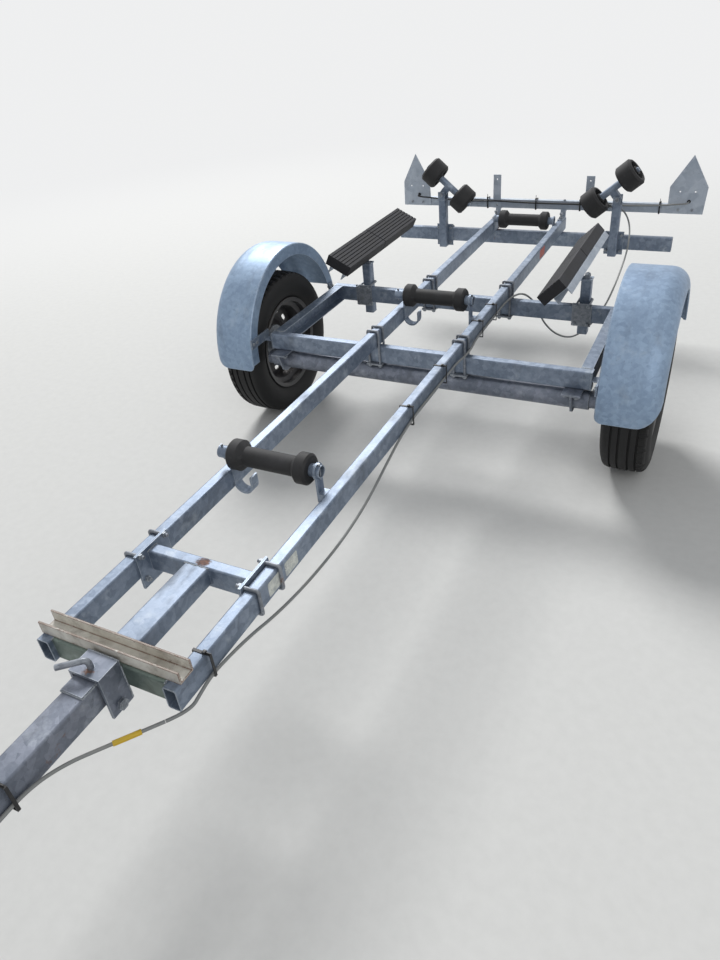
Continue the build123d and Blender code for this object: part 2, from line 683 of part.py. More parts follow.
# Jockey wheel
def jockey_clamp():
    foot = RAIL_TOP - DRAWBAR_HEIGHT
    x = (JOCKEY_X, -DRAWBAR_WIDTH / 2)
    body = block(x, (JOCKEY_Y - 22, JOCKEY_Y + 22), (foot + 6, RAIL_TOP - 6))
    body += rod((JOCKEY_X, JOCKEY_Y, foot + 6), (JOCKEY_X, JOCKEY_Y, RAIL_TOP - 6), JOCKEY_TUBE_RADIUS + 6)
    body -= rod((JOCKEY_X, JOCKEY_Y, foot), (JOCKEY_X, JOCKEY_Y, RAIL_TOP), JOCKEY_TUBE_RADIUS)
    body += rod((JOCKEY_X - 29, JOCKEY_Y, foot + 30), (JOCKEY_X - 62, JOCKEY_Y, foot + 30), 6)
    return body + rod((JOCKEY_X - 56, JOCKEY_Y - 40, foot + 30), (JOCKEY_X - 56, JOCKEY_Y + 40, foot + 30), 5)


def jockey_tube():
    tube = pipe((JOCKEY_X, JOCKEY_Y, JOCKEY_TUBE_FOOT), (JOCKEY_X, JOCKEY_Y, JOCKEY_TUBE_TOP), JOCKEY_TUBE_RADIUS, JOCKEY_STEM_RADIUS + 0.1)
    return tube + rod((JOCKEY_X, JOCKEY_Y, JOCKEY_TUBE_TOP - 6), (JOCKEY_X, JOCKEY_Y, JOCKEY_TUBE_TOP + 8), JOCKEY_TUBE_RADIUS + 3)


def jockey_handle():
    z = JOCKEY_TUBE_TOP + 8
    points = [(JOCKEY_X, JOCKEY_Y, z), (JOCKEY_X, JOCKEY_Y, z + 28), (JOCKEY_X, JOCKEY_Y + 120, z + 28), (JOCKEY_X, JOCKEY_Y + 120, z + 90)]
    return swept_rod(points, 14, 6)


def jockey_stem():
    return pipe((JOCKEY_X, JOCKEY_Y, JOCKEY_CROWN), (JOCKEY_X, JOCKEY_Y, JOCKEY_STEM_TOP), JOCKEY_STEM_RADIUS, JOCKEY_STEM_RADIUS - 3)


def jockey_fork():
    half = JOCKEY_WHEEL_WIDTH / 2 + 5
    crown = block((JOCKEY_X - half - 4, JOCKEY_X + half + 4), (JOCKEY_Y - 22, JOCKEY_Y + JOCKEY_TRAIL + 16), (JOCKEY_CROWN - 8.3, JOCKEY_CROWN - 0.3))
    wheel_y = JOCKEY_Y + JOCKEY_TRAIL
    for side in SIDES.values():
        x = sorted((JOCKEY_X + side * half, JOCKEY_X + side * (half + 4)))
        cheek = block(x, (wheel_y - 20, wheel_y + 16), (JOCKEY_WHEEL_RADIUS - 16, JOCKEY_CROWN - 4))
        crown += cheek
    crown += rod((JOCKEY_X, JOCKEY_Y, JOCKEY_CROWN - 4), (JOCKEY_X, JOCKEY_Y, JOCKEY_CROWN + 18), JOCKEY_STEM_RADIUS - 3.05)
    crown += rod((JOCKEY_X - half - 9, wheel_y, JOCKEY_WHEEL_RADIUS), (JOCKEY_X + half + 9, wheel_y, JOCKEY_WHEEL_RADIUS), 6)
    return crown


def jockey_wheel():
    half = JOCKEY_WHEEL_WIDTH / 2
    outline = [
        (-half, 6.1), (-half, 40), (-half + 6, 46), (-half + 6, 80), (-half, 88), (-half + 4, 96), (-10, 100),
        (10, 100), (half - 4, 96), (half, 88), (half - 6, 80), (half - 6, 46), (half, 40), (half, 6.1),
    ]
    return spun(outline, JOCKEY_X, JOCKEY_Y + JOCKEY_TRAIL, JOCKEY_WHEEL_RADIUS)


# Keel rollers
def keel_roller(row):
    name, y, rise, middle = row[:4]
    half = KEEL_LENGTH / 2
    inner = half - KEEL_END
    outline = [
        (-half, KEEL_BORE), (-half, KEEL_RADIUS - 5), (-half + 5, KEEL_RADIUS), (-inner - 5, KEEL_RADIUS),
        (-inner, KEEL_RADIUS - 5), (-inner + 8, KEEL_CORE_RADIUS), (inner - 8, KEEL_CORE_RADIUS),
        (inner, KEEL_RADIUS - 5), (inner + 5, KEEL_RADIUS), (half - 5, KEEL_RADIUS), (half, KEEL_RADIUS - 5),
        (half, KEEL_BORE),
    ]
    return spun(outline, middle, y, RAIL_TOP + rise)


def keel_frames():
    parts = []
    for name, y, rise, middle, left_end, right_end, left_strap, right_strap in KEEL_ROLLERS:
        z = RAIL_TOP + rise
        inner = KEEL_SPINDLE_RADIUS - KEEL_SPINDLE_WALL
        frame = rod((left_end, y, z), (right_end, y, z), KEEL_SPINDLE_RADIUS)
        for face, side in ((left_strap, LEFT), (right_strap, RIGHT)):
            x = both_ways(side, abs(face) - KEEL_STRAP, abs(face))
            frame += block(x, (y - 14, y + 14), (RAIL_TOP - 40, z))
            frame += rod((x[0], y, z), (x[1], y, z), KEEL_SPINDLE_RADIUS + 5)
            foot = both_ways(side, abs(face) - KEEL_STRAP, RAIL_IN)
            frame += block(foot, (y - 14, y + 14), (RAIL_TOP - 40, RAIL_TOP - 16))
        parts.append(frame - rod((left_end - 1, y, z), (right_end + 1, y, z), inner))
    return parts


# Bunks
def bunk_place(row):
    name, side, x, z, tilt = row
    return Pos(side * x, BUNK_START + BUNK_LENGTH / 2, z) * Rot(0, -side * tilt, 0)


def bunk_pad(row):
    body = Box(BUNK_WIDTH, BUNK_LENGTH, BUNK_PAD_THICK)
    pitch = BUNK_WIDTH / BUNK_RIBS
    for index in range(BUNK_RIBS - 1):
        x = -BUNK_WIDTH / 2 + pitch * (index + 1)
        body -= Pos(x, 0, BUNK_PAD_THICK / 2) * Box(4, BUNK_LENGTH + 2, 2 * BUNK_RIB_DEPTH)
    return bunk_place(row) * body


def bunk_back(row):
    top = -BUNK_PAD_THICK / 2
    body = Pos(0, 0, top - BUNK_BACK_DEPTH / 2) * Box(BUNK_BACK_WIDTH, BUNK_LENGTH - 6, BUNK_BACK_DEPTH)
    body -= Pos(0, 0, top - BUNK_BACK_DEPTH / 2 - 3) * Box(BUNK_BACK_WIDTH - 6, BUNK_LENGTH, BUNK_BACK_DEPTH)
    return bunk_place(row) * body


def bunk_post(row):
    name, side, x, z, tilt = row
    y = REAR_BEAM_Y + BEAM_DEPTH + BUNK_POST_SIZE / 2
    foot = (side * BUNK_POST_X, y, BUNK_POST_FOOT)
    top = (side * BUNK_POST_X, y, BUNK_POST_TOP)
    post = square_tube(foot, top, (1, 0, 0), BUNK_POST_SIZE, BUNK_POST_SIZE, RAIL_WALL)
    cap_top = BUNK_POST_TOP + 5
    post += block(both_ways(side, BUNK_POST_X - 20, BUNK_POST_X + 20), (y - 20, y + 20), (BUNK_POST_TOP, cap_top))
    turn = math.radians(tilt)
    depth = BUNK_PAD_THICK / 2 + BUNK_BACK_DEPTH
    seat = Vector(side * (x + math.sin(turn) * depth), y, z - math.cos(turn) * depth)
    across = Vector(side * math.cos(turn), 0, math.sin(turn)) * 26
    corners = [
        seat + across, seat - across,
        Vector(side * (BUNK_POST_X - 16), y, cap_top), Vector(side * (BUNK_POST_X + 16), y, cap_top),
    ]
    flat = [(corner.X, -corner.Z) for corner in corners]
    lug = Plane(origin=(0, y - 3, 0), x_dir=(1, 0, 0), z_dir=(0, 1, 0))
    return post + extrude(lug * make_face(Polyline(*flat, close=True)), 6)


def bunk_leg_places(side):
    reach = CLAMP_ROD + CLAMP_GAP
    return (side * (BUNK_POST_X - BUNK_POST_SIZE / 2 - reach), side * (BUNK_POST_X + BUNK_POST_SIZE / 2 + reach))


def bunk_clamp_plate(side):
    face = REAR_BEAM_Y - CLAMP_PLATE_THICK
    span = both_ways(side, BUNK_POST_X - 34, BUNK_POST_X + 34)
    plate = block(span, (face, REAR_BEAM_Y), (BEAM_FOOT - 12, BEAM_TOP + 12))
    for z in beam_bolt_heights():
        for x in bunk_leg_places(side):
            plate -= rod((x, face - 1, z), (x, REAR_BEAM_Y + 1, z), CLAMP_ROD + CLAMP_GAP)
    return plate


def bunk_u_bolts():
    parts = []
    back = REAR_BEAM_Y + BEAM_DEPTH + BUNK_POST_SIZE + CLAMP_ROD + CLAMP_GAP
    face = REAR_BEAM_Y - CLAMP_PLATE_THICK
    end = face - NUT_HEIGHT - 5
    for side in SIDES.values():
        inner, outer = bunk_leg_places(side)
        for z in beam_bolt_heights():
            points = [(inner, end, z), (inner, back, z), (outer, back, z), (outer, end, z)]
            parts.append(swept_rod(points, CLAMP_ROD * 1.5, CLAMP_ROD))
            for x in (inner, outer):
                parts.append(nut((x, face, z), (x, face - NUT_HEIGHT, z)))
    return parts


# Wobble roller units
def wobble_post(side):
    x = side * WOBBLE_X
    face = TAIL_BEAM_Y - CLAMP_PLATE_THICK
    z = BEAM_TOP - BEAM_HEIGHT / 2
    span = both_ways(side, WOBBLE_X - WOBBLE_PLATE_WIDTH / 2, WOBBLE_X + WOBBLE_PLATE_WIDTH / 2)
    plate = block(span, (face, TAIL_BEAM_Y), (z - WOBBLE_PLATE_HEIGHT / 2, z + WOBBLE_PLATE_HEIGHT / 2))
    y = face - WOBBLE_POST / 2
    foot = z - WOBBLE_PLATE_HEIGHT / 2
    post = square_tube((x, y, foot), (x, y, WOBBLE_POST_TOP), (1, 0, 0), WOBBLE_POST, WOBBLE_POST, RAIL_WALL)
    for offset in WOBBLE_CLAMP_OFFSETS:
        for height in beam_bolt_heights():
            plate -= rod((x + offset, face - 1, height), (x + offset, TAIL_BEAM_Y + 1, height), CLAMP_ROD + CLAMP_GAP)
    post += plate
    post += block((x - 20, x + 20), (y - 26, y + 26), (WOBBLE_POST_TOP, WOBBLE_POST_TOP + 4))
    for cheek in (-26, 20):
        ear = block((x - 16, x + 16), (y + cheek, y + cheek + 6), (WOBBLE_POST_TOP, WOBBLE_PIVOT_Z + 12))
        post += ear
    return post + rod((x, y - 32, WOBBLE_PIVOT_Z), (x, y + 32, WOBBLE_PIVOT_Z), WOBBLE_PIN_RADIUS)


def beam_bolt_heights():
    reach = CLAMP_ROD + CLAMP_GAP
    return (BEAM_FOOT - reach, BEAM_TOP + reach)


def wobble_y():
    return TAIL_BEAM_Y - CLAMP_PLATE_THICK - WOBBLE_POST / 2


def wobble_clamps():
    parts = []
    reach = CLAMP_ROD + CLAMP_GAP
    face = TAIL_BEAM_Y - CLAMP_PLATE_THICK
    back = TAIL_BEAM_Y + BEAM_DEPTH
    for side in SIDES.values():
        for offset in WOBBLE_CLAMP_OFFSETS:
            x = side * WOBBLE_X + offset
            low, high = beam_bolt_heights()
            end = face - NUT_HEIGHT - 5
            points = [(x, end, low), (x, back + reach, low), (x, back + reach, high), (x, end, high)]
            parts.append(swept_rod(points, CLAMP_ROD * 1.5, CLAMP_ROD))
            for z in (low, high):
                parts.append(nut((x, face, z), (x, face - NUT_HEIGHT, z)))
    return parts


def axle_direction(side):
    turn = math.radians(WOBBLE_TILT)
    return Vector(side * math.cos(turn), 0, math.sin(turn))


def axle_middle(side):
    turn = math.radians(WOBBLE_TILT)
    rise = Vector(-side * math.sin(turn), 0, math.cos(turn)) * WOBBLE_AXLE_RISE
    return Vector(side * WOBBLE_X, wobble_y(), WOBBLE_PIVOT_Z) + rise


def cradle(side):
    middle = axle_middle(side)
    reach = axle_direction(side) * (WOBBLE_SPACING / 2 + WOBBLE_ROLLER_WIDTH / 2 + 8)
    start = tuple(middle - reach)
    end = tuple(middle + reach)
    along = axle_direction(side)
    body = rod(start, end, WOBBLE_AXLE_RADIUS)
    hub_half = along * (WOBBLE_SPACING / 2 - WOBBLE_ROLLER_WIDTH / 2 - 3)
    body += rod(tuple(middle - hub_half), tuple(middle + hub_half), WOBBLE_AXLE_RADIUS + 5)
    pivot = Vector(side * WOBBLE_X, wobble_y(), WOBBLE_PIVOT_Z)
    lug = Plane(origin=pivot + Vector(0, -13, 0), x_dir=tuple(along), z_dir=(0, 1, 0))
    web = Pos(0, -side * WOBBLE_AXLE_RISE / 2) * Rectangle(30, WOBBLE_AXLE_RISE) + Circle(15)
    body += extrude(lug * web, 26)
    play = WOBBLE_PIN_RADIUS + WOBBLE_PLAY
    return body - rod((pivot.X, pivot.Y - 30, pivot.Z), (pivot.X, pivot.Y + 30, pivot.Z), play)


def wobble_roller(side, place):
    centre = axle_middle(side) + axle_direction(side) * (place * WOBBLE_SPACING / 2)
    half = WOBBLE_ROLLER_WIDTH / 2
    bore = WOBBLE_AXLE_RADIUS + WOBBLE_PLAY
    full = WOBBLE_ROLLER_RADIUS
    outline = [
        (-half, full - 8), (-half + 8, full), (half - 8, full), (half, full - 8), (half, full - 16),
        (half - 20, full - 20), (half - 20, 20), (half, 20), (half, bore), (-half, bore), (-half, 20),
        (-half + 20, 20), (-half + 20, full - 20), (-half, full - 16),
    ]
    plane = Plane(origin=centre, x_dir=tuple(axle_direction(side)), z_dir=(0, -1, 0))
    face = plane * make_face(Polyline(*outline, close=True))
    return revolve(face, axis=Axis(centre, axle_direction(side)))


# Light board
def light_bar():
    x = (LIGHT_SHIFT - LIGHT_HALF, LIGHT_SHIFT + LIGHT_HALF)
    z = (LIGHT_BAR_FOOT, LIGHT_BAR_FOOT + LIGHT_BAR_HEIGHT)
    whole = block(x, (LIGHT_BAR_Y, LIGHT_BAR_Y + LIGHT_BAR_DEPTH), z)
    inside = (z[0] + LIGHT_SHEET, z[1] - LIGHT_SHEET)
    return whole - block((x[0] - 1, x[1] + 1), (LIGHT_BAR_Y + LIGHT_SHEET, LIGHT_BAR_Y + 99), inside)


def lamp_plates():
    parts = []
    half = LAMP_PLATE_WIDTH / 2
    for side in SIDES.values():
        x = LIGHT_SHIFT + side * LIGHT_HALF
        outline = [
            (x - half, LIGHT_BAR_FOOT), (x + half, LIGHT_BAR_FOOT), (x + half + side * 6, LIGHT_BAR_FOOT + LAMP_PLATE_SHOULDER),
            (x + side * 4, LIGHT_BAR_FOOT + LAMP_PLATE_HEIGHT), (x - half - side * 2, LIGHT_BAR_FOOT + LAMP_PLATE_SHOULDER),
        ]
        plane = Plane(origin=(0, LIGHT_BAR_Y, 0), x_dir=(1, 0, 0), z_dir=(0, -1, 0))
        plate = extrude(plane * make_face(Polyline(*outline, close=True)), LIGHT_SHEET)
        for offset in (-LAMP_HOLE_SPACING / 2, LAMP_HOLE_SPACING / 2):
            start = (x + offset, LIGHT_BAR_Y - 9, LAMP_HOLE_Z)
            plate -= rod(start, (x + offset, LIGHT_BAR_Y + 9, LAMP_HOLE_Z), LAMP_HOLE_RADIUS)
        parts.append(plate)
    return parts


def light_board():
    board = light_bar()
    half = NUMBER_STAY_WIDTH / 2
    for side in SIDES.values():
        x = LIGHT_SHIFT + side * NUMBER_STAY_SPACING / 2
        stay = block((x - half, x + half), (LIGHT_BAR_Y - LIGHT_SHEET, LIGHT_BAR_Y), (LIGHT_BAR_FOOT, NUMBER_STAY_TOP))
        hole = rod((x, LIGHT_BAR_Y - 9, NUMBER_HOLE_Z), (x, LIGHT_BAR_Y + 9, NUMBER_HOLE_Z), NUMBER_HOLE_RADIUS)
        board += stay - hole
    return board


def light_brackets():
    parts = []
    for side in SIDES.values():
        x = both_ways(side, RAIL_X - 12, RAIL_X + 12)
        leg = block(x, (LIGHT_BAR_Y - 10, LIGHT_BAR_Y - 6), (RAIL_TOP, LIGHT_BAR_FOOT))
        leg += block(x, (RAIL_LENGTH - 60, LIGHT_BAR_Y - 6), (RAIL_TOP, RAIL_TOP + 4))
        parts.append(leg + block(x, (LIGHT_BAR_Y - 10, LIGHT_BAR_Y + 18), (LIGHT_BAR_FOOT - 4, LIGHT_BAR_FOOT)))
    return parts


# Lighting cable
def cable(route):
    points = [Vector(*p) for p in route]
    radii = []
    for before, here, after in zip(points, points[1:], points[2:]):
        turn = (here - before).get_angle(after - here)
        shorter = min((here - before).length, (after - here).length)
        radii.append(0.45 * shorter / math.tan(math.radians(turn / 2)))
    print("cord bend radii", [round(r) for r in radii])
    path = FilletPolyline(*route, radius=radii)
    print("cord length", round(path.length), "turns kept", len(radii))
    section = Plane(origin=path @ 0, z_dir=path % 0) * Circle(CABLE_RADIUS)
    return sweep(section, path=path)


def plug():
    x, y, z = DRAWBAR_CABLE[0]
    start = (x, y, z)
    shell = rod((x, y - 62, z), (x, y - 10, z), 19)
    shell += rod((x, y - 12, z), (x, y + 14, z), 9)
    shell += block((x - 7, x + 7), (y - 56, y - 14), (z + 15, z + 25))
    return shell - rod((x, y - 63, z), (x, y - 52, z), 15) - rod(start, (x, y + 15, z), CABLE_RADIUS + 0.2)


def sleeve():
    start, end = (Vector(*DRAWBAR_CABLE[-3]), Vector(*DRAWBAR_CABLE[-2]))
    run = (end - start) * 0.04
    middle = (start + end) * 0.5
    return pipe(tuple(middle - run), tuple(middle + run), CABLE_RADIUS + 1.7, CABLE_RADIUS + 0.2)


def rail_tie(y):
    x = (RAIL_IN, RAIL_OUT + 2 * CABLE_RADIUS + 0.6)
    z = (RAIL_TOP - RAIL_HEIGHT, RAIL_TOP)
    t = TIE_THICK
    outer = block((x[0] - t, x[1] + t), (y - TIE_WIDTH / 2, y + TIE_WIDTH / 2), (z[0] - t, z[1] + t))
    return outer - block(x, (y - TIE_WIDTH, y + TIE_WIDTH), z)


def cable_ties():
    return [rail_tie(y) for y in RAIL_TIES]


def drawbar_tie():
    half = DRAWBAR_WIDTH / 2
    x = (-half, half + 2 * CABLE_RADIUS + 0.6)
    z = (RAIL_TOP - DRAWBAR_HEIGHT, RAIL_TOP)
    t = TIE_THICK
    bands = []
    for y in DRAWBAR_TIES:
        outer = block((x[0] - t, x[1] + t), (y - TIE_WIDTH / 2, y + TIE_WIDTH / 2), (z[0] - t, z[1] + t))
        bands.append(outer - block(x, (y - TIE_WIDTH, y + TIE_WIDTH), z))
    return bands


def named_parts():
    nodes = {
        "front_crossmember": [front_crossmember()],
        "centre_tube": [centre_tube()],
        "h_crossmember": [h_crossmember()],
        "bow_channel": [bow_channel()],
        "axle_beam": [cross_beam(AXLE_BEAM_Y, SUBFRAME_HALF)],
        "rear_beam": [cross_beam(REAR_BEAM_Y, SUBFRAME_HALF)],
        "tail_beam": [cross_beam(TAIL_BEAM_Y, TAIL_BEAM_HALF)],
        "u_bolts": h_clamps() + rail_u_bolts() + bunk_u_bolts() + wobble_clamps(),
        "clamp_plates": clamp_plates(),
        "axle_tube": [axle_tube()],
        "axle_brackets": axle_brackets(),
        "guard_brackets": guard_brackets(AXLE_BEAM_Y, GUARD_FORWARD) + guard_brackets(REAR_BEAM_Y, 0),
        "rails": [rail(side) for side in SIDES.values()],
        "side_channels": [side_channel(side) for side in SIDES.values()],
        "swing_arms": [swing_arm(side) for side in SIDES.values()],
        "hinge_bracket": [hinge_bracket()],
        "hinge_pins": [pivot_bolt(), lock_pin()],
        "drawbar": [drawbar() + drawbar_heel() + tongue_plate()],
        "coupling_head": [welded([coupling_head(), coupling_lever()])],
        "jockey_clamp": [jockey_clamp()],
        "jockey_tube": [jockey_tube() + jockey_handle()],
        "jockey_stem": [jockey_stem()],
        "jockey_fork": [jockey_fork()],
        "jockey_wheel": [jockey_wheel()],
        "keel_frames": keel_frames(),
        "light_bar": [welded([light_board()] + light_brackets())],
        "lamp_plates": lamp_plates(),
        "bed_cable": [cable(BED_CABLE)],
        "drawbar_cable": [cable(DRAWBAR_CABLE)],
        "plug": [plug()],
        "cable_sleeve": [sleeve()],
        "cable_ties": cable_ties(),
        "drawbar_ties": drawbar_tie(),
    }
    for name, side in SIDES.items():
        nodes["tyre_" + name] = [tyre(side)]
        nodes["rim_" + name] = [rim(side)]
        nodes["hub_" + name] = [hub(side)]
        nodes["mudguard_" + name] = [mudguard(side)]
        nodes["wobble_post_" + name] = [wobble_post(side)]
        nodes["cradle_" + name] = [cradle(side)]
        nodes["wobble_roller_inner_" + name] = [wobble_roller(side, -1)]
        nodes["wobble_roller_outer_" + name] = [wobble_roller(side, 1)]
    for row in KEEL_ROLLERS:
        nodes["keel_roller_" + row[0]] = [keel_roller(row)]
    for row in BUNKS:
        nodes["bunk_pad_" + row[0]] = [bunk_pad(row)]
        nodes["bunk_back_" + row[0]] = [bunk_back(row)]
        nodes["bunk_post_" + row[0]] = [bunk_post(row)]
    return nodes


def main():
    os.makedirs("parts", exist_ok=True)
    for name, solids in named_parts().items():
        moved = [Pos(0, Y_SHIFT, 0) * solid for solid in solids]
        shape = moved[0] if len(moved) == 1 else Compound(children=moved)
        shape.label = name
        export_step(shape, "parts/" + name + ".step")
        print(name, len(moved), round(shape.volume))


main()
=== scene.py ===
# %% [markdown]
# # A galvanised boat trailer, dressed in cells
# The frame holds every steel part at its true place, in metres. The cells below give
# it a camera, soft light, cables, tyres with a tread, bunk pads, rolled mudguards,
# small fasteners and weathered finishes.

# %% Load the frame
import bmesh
import bpy
import math
import random
from mathutils import Matrix, Vector


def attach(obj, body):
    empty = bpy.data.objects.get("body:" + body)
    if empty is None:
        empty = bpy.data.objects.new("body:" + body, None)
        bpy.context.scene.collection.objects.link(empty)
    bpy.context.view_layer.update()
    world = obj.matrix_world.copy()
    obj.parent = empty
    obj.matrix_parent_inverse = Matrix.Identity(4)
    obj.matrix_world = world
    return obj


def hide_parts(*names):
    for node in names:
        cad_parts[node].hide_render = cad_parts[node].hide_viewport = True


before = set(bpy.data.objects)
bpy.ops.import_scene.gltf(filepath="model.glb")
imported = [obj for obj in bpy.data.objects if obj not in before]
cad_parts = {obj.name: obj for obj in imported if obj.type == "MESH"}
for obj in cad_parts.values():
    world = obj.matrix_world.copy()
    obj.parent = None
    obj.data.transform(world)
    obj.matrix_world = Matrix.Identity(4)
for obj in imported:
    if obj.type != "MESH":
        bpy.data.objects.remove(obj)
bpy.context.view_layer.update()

# %% [markdown]
# ## The camera
# It stands to the right of the drawbar at a grown person's chest height and looks
# down along the rails. Its place, its three turns and its lens were found by
# lining the frame's corners up with the photograph, so they are plain numbers.

# %% Camera
VIEWPOINT = Vector((0.8840, -1.4588, 1.4347))
YAW = -0.5153
PITCH = -0.6047
ROLL = -0.1056
LENS = 26.97


def add_camera():
    data = bpy.data.cameras.new("photo_camera")
    data.lens = LENS
    data.clip_end = 200
    camera = bpy.data.objects.new("photo_camera", data)
    bpy.context.scene.collection.objects.link(camera)
    aim = Matrix.Rotation(-YAW, 4, "Z") @ Matrix.Rotation(math.pi / 2 + PITCH, 4, "X")
    camera.matrix_world = Matrix.Translation(VIEWPOINT) @ aim @ Matrix.Rotation(ROLL, 4, "Z")
    bpy.context.scene.camera = camera
    return camera


print("camera at", tuple(round(v, 2) for v in add_camera().location))

# %% [markdown]
# ## The lighting cable
# On the real trailer one grey cable runs from the plug along the drawbar, crosses
# the hinge, follows the right rail, hangs in a loop behind the rear beam and climbs
# to the light board. There it meets the board's own two leads in a black splice. A
# NURBS curve through a few given points gives the slack line of a clipped
# cable. The first two lengths meet on the hinge's axis, so the drawbar can tilt. Each
# point's radius is half the cable's width, and the curve's own bevel is one metre, so
# that the two together give the width and the curve's box stays true.

# %% Cable routes, in millimetres from the rails' front ends
CABLE_WIDTH = 0.007
SLEEVE_WIDTH = 0.0105
DRAWBAR_ROUTE = [
    (62.8, -900, 352), (62.8, -850, 352), (36.8, -800, 382), (28.8, -750, 415),
    (28.8, -650, 417), (28.8, -520, 416), (28.8, -400, 417), (28.8, -300, 416),
    (28.8, -220, 415), (42.8, -160, 404), (72.8, -104, 392), (110, -53, 389),
    (137.7, -17.4, 389),
]
BED_ROUTE = [
    (138.3, -16.6, 389), (166, 19, 389), (170.3, 50, 404), (171.3, 76, 411.8), (171.3, 110, 411.8),
    (174.3, 200, 400), (178, 300, 374), (178, 440, 352), (177, 590, 344), (176, 730, 358),
    (173, 860, 390), (171.3, 960, 414), (171.3, 1060, 424), (171.3, 1180, 425),
    (171.3, 1300, 424), (171.3, 1400, 425), (180.2, 1460, 424), (180.2, 1530, 425),
    (171.3, 1590, 424), (171.3, 1700, 425), (171.3, 1820, 424), (172.3, 1910, 425),
    (182.2, 1980, 428), (205.2, 2036, 422), (236, 2070, 385), (258, 2082, 335), (280, 2085, 289),
    (322, 2087, 250), (374, 2089, 236), (415, 2098, 254), (448, 2126, 284), (470, 2170, 312),
    (482, 2228.9, 332), (486, 2307.6, 346), (486, 2405.8, 358), (484, 2504.1, 370),
    (481, 2602.3, 382), (476, 2687.4, 394), (470, 2750, 408), (464, 2797, 428),
    (455, 2834, 452), (440, 2860, 478),
    (420, 2876, 500), (394, 2884, 514), (366, 2884, 516.2), (338, 2884, 516.2),
]
BLACK_ROUTE = [
    (-555, 2886, 545), (-555, 2866, 545), (-542, 2856, 544), (-515, 2862, 540), (-470, 2880, 532),
    (-420, 2886, 526), (-280, 2886, 522), (-163, 2886, 527), (-40, 2886, 522),
    (90, 2886, 521), (190, 2886, 522), (262, 2884.5, 520), (306, 2884, 520),
]
GREY_ROUTE = [
    (675, 2886, 545), (675, 2866, 545), (662, 2856, 544), (635, 2862, 540), (590, 2880, 532),
    (540, 2886, 526), (480, 2886, 524), (420, 2885, 523), (372, 2884, 523.8),
    (338, 2884, 523.8),
]
SLEEVE_ROUTE = [(82.3, -91.4, 391.5), (98, -70, 390), (112, -50.7, 389.2)]
ROW_SHIFT = -912.5


def row_point(point):
    """A point in millimetres from the rails' front ends, as metres in the frame."""
    return (point[0] / 1000, (point[1] + ROW_SHIFT) / 1000, point[2] / 1000)


def add_cable(name, route, body, width=CABLE_WIDTH):
    data = bpy.data.curves.new(name, "CURVE")
    data.dimensions = "3D"
    data.bevel_depth = 1.0
    data.bevel_resolution = 3
    data.use_fill_caps = True
    line = data.splines.new("NURBS")
    line.points.add(len(route) - 1)
    for point, place in zip(line.points, route):
        point.co = (*row_point(place), 1)
        point.radius = width / 2
    line.order_u = 3
    line.use_endpoint_u = True
    line.resolution_u = 8
    cable = bpy.data.objects.new(name, data)
    bpy.context.scene.collection.objects.link(cable)
    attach(cable, body)
    return cable


drawbar_lead = add_cable("drawbar_lead", DRAWBAR_ROUTE, "drawbar")
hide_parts("drawbar_cable")
bed_lead = add_cable("bed_lead", BED_ROUTE, "bed")
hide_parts("bed_cable")
black_lead = add_cable("black_board_lead", BLACK_ROUTE, "bed")
grey_lead = add_cable("grey_board_lead", GREY_ROUTE, "bed")
row_point(DRAWBAR_ROUTE[-1])
row_point(BED_ROUTE[0])
row_point(BLACK_ROUTE[-1])
row_point(GREY_ROUTE[-1])
sleeve = add_cable("yellow_sleeve", SLEEVE_ROUTE, "drawbar", SLEEVE_WIDTH)
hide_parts("cable_sleeve")
print("cables:", [lead.name for lead in (drawbar_lead, bed_lead, black_lead, grey_lead)])

# %% [markdown]
# ## Floor and light
# A trailer this long needs a floor that runs past the picture's edges. One broad lamp
# far behind it gives the steel its bright upper edges and lights the floor evenly, a
# weaker one in front opens the shadows, and an even pale world does the rest.

# %% Floor, lamps and world
FLOOR_HALF = 60


def add_floor():
    bm = bmesh.new()
    bmesh.ops.create_grid(bm, x_segments=1, y_segments=1, size=FLOOR_HALF)
    mesh = bpy.data.meshes.new("floor")
    bm.to_mesh(mesh)
    bm.free()
    floor = bpy.data.objects.new("floor", mesh)
    bpy.context.scene.collection.objects.link(floor)
    return floor


def add_lamp(name, place, target, size, power):
    data = bpy.data.lights.new(name, "AREA")
    data.shape = "DISK"
    data.size = size
    data.energy = power
    lamp = bpy.data.objects.new(name, data)
    bpy.context.scene.collection.objects.link(lamp)
    lamp.location = place
    lamp.rotation_euler = (Vector(target) - Vector(place)).to_track_quat("-Z", "Y").to_euler()


floor = add_floor()
add_lamp("key_lamp", (-7.7, 10.5, 11.7), (0, 0.4, 0.3), 6.6, 2580)
add_lamp("fill_lamp", (4.5, -4.0, 4.5), (0, 0, 0.3), 4.0, 90)
bpy.context.scene.view_settings.view_transform = "Standard"
print("lamps:", len(bpy.data.lights))

# %% [markdown]
# The world lights the object with an even pale grey. What the camera sees beyond the
# floor comes from a second Background node, picked by the Light Path node, so that
# the horizon doesn't show. Mirrors see the same, because glossy rays are added.

# %% World
BACKDROP = (0.86, 0.865, 0.87, 1)


def seen_ray(tree):
    path = tree.nodes.new("ShaderNodeLightPath")
    total = path.outputs["Is Camera Ray"]
    for other in ("Is Glossy Ray", "Is Transmission Ray"):
        added = tree.nodes.new("ShaderNodeMath")
        added.operation = "MAXIMUM"
        tree.links.new(total, added.inputs[0])
        tree.links.new(path.outputs[other], added.inputs[1])
        total = added.outputs[0]
    return total


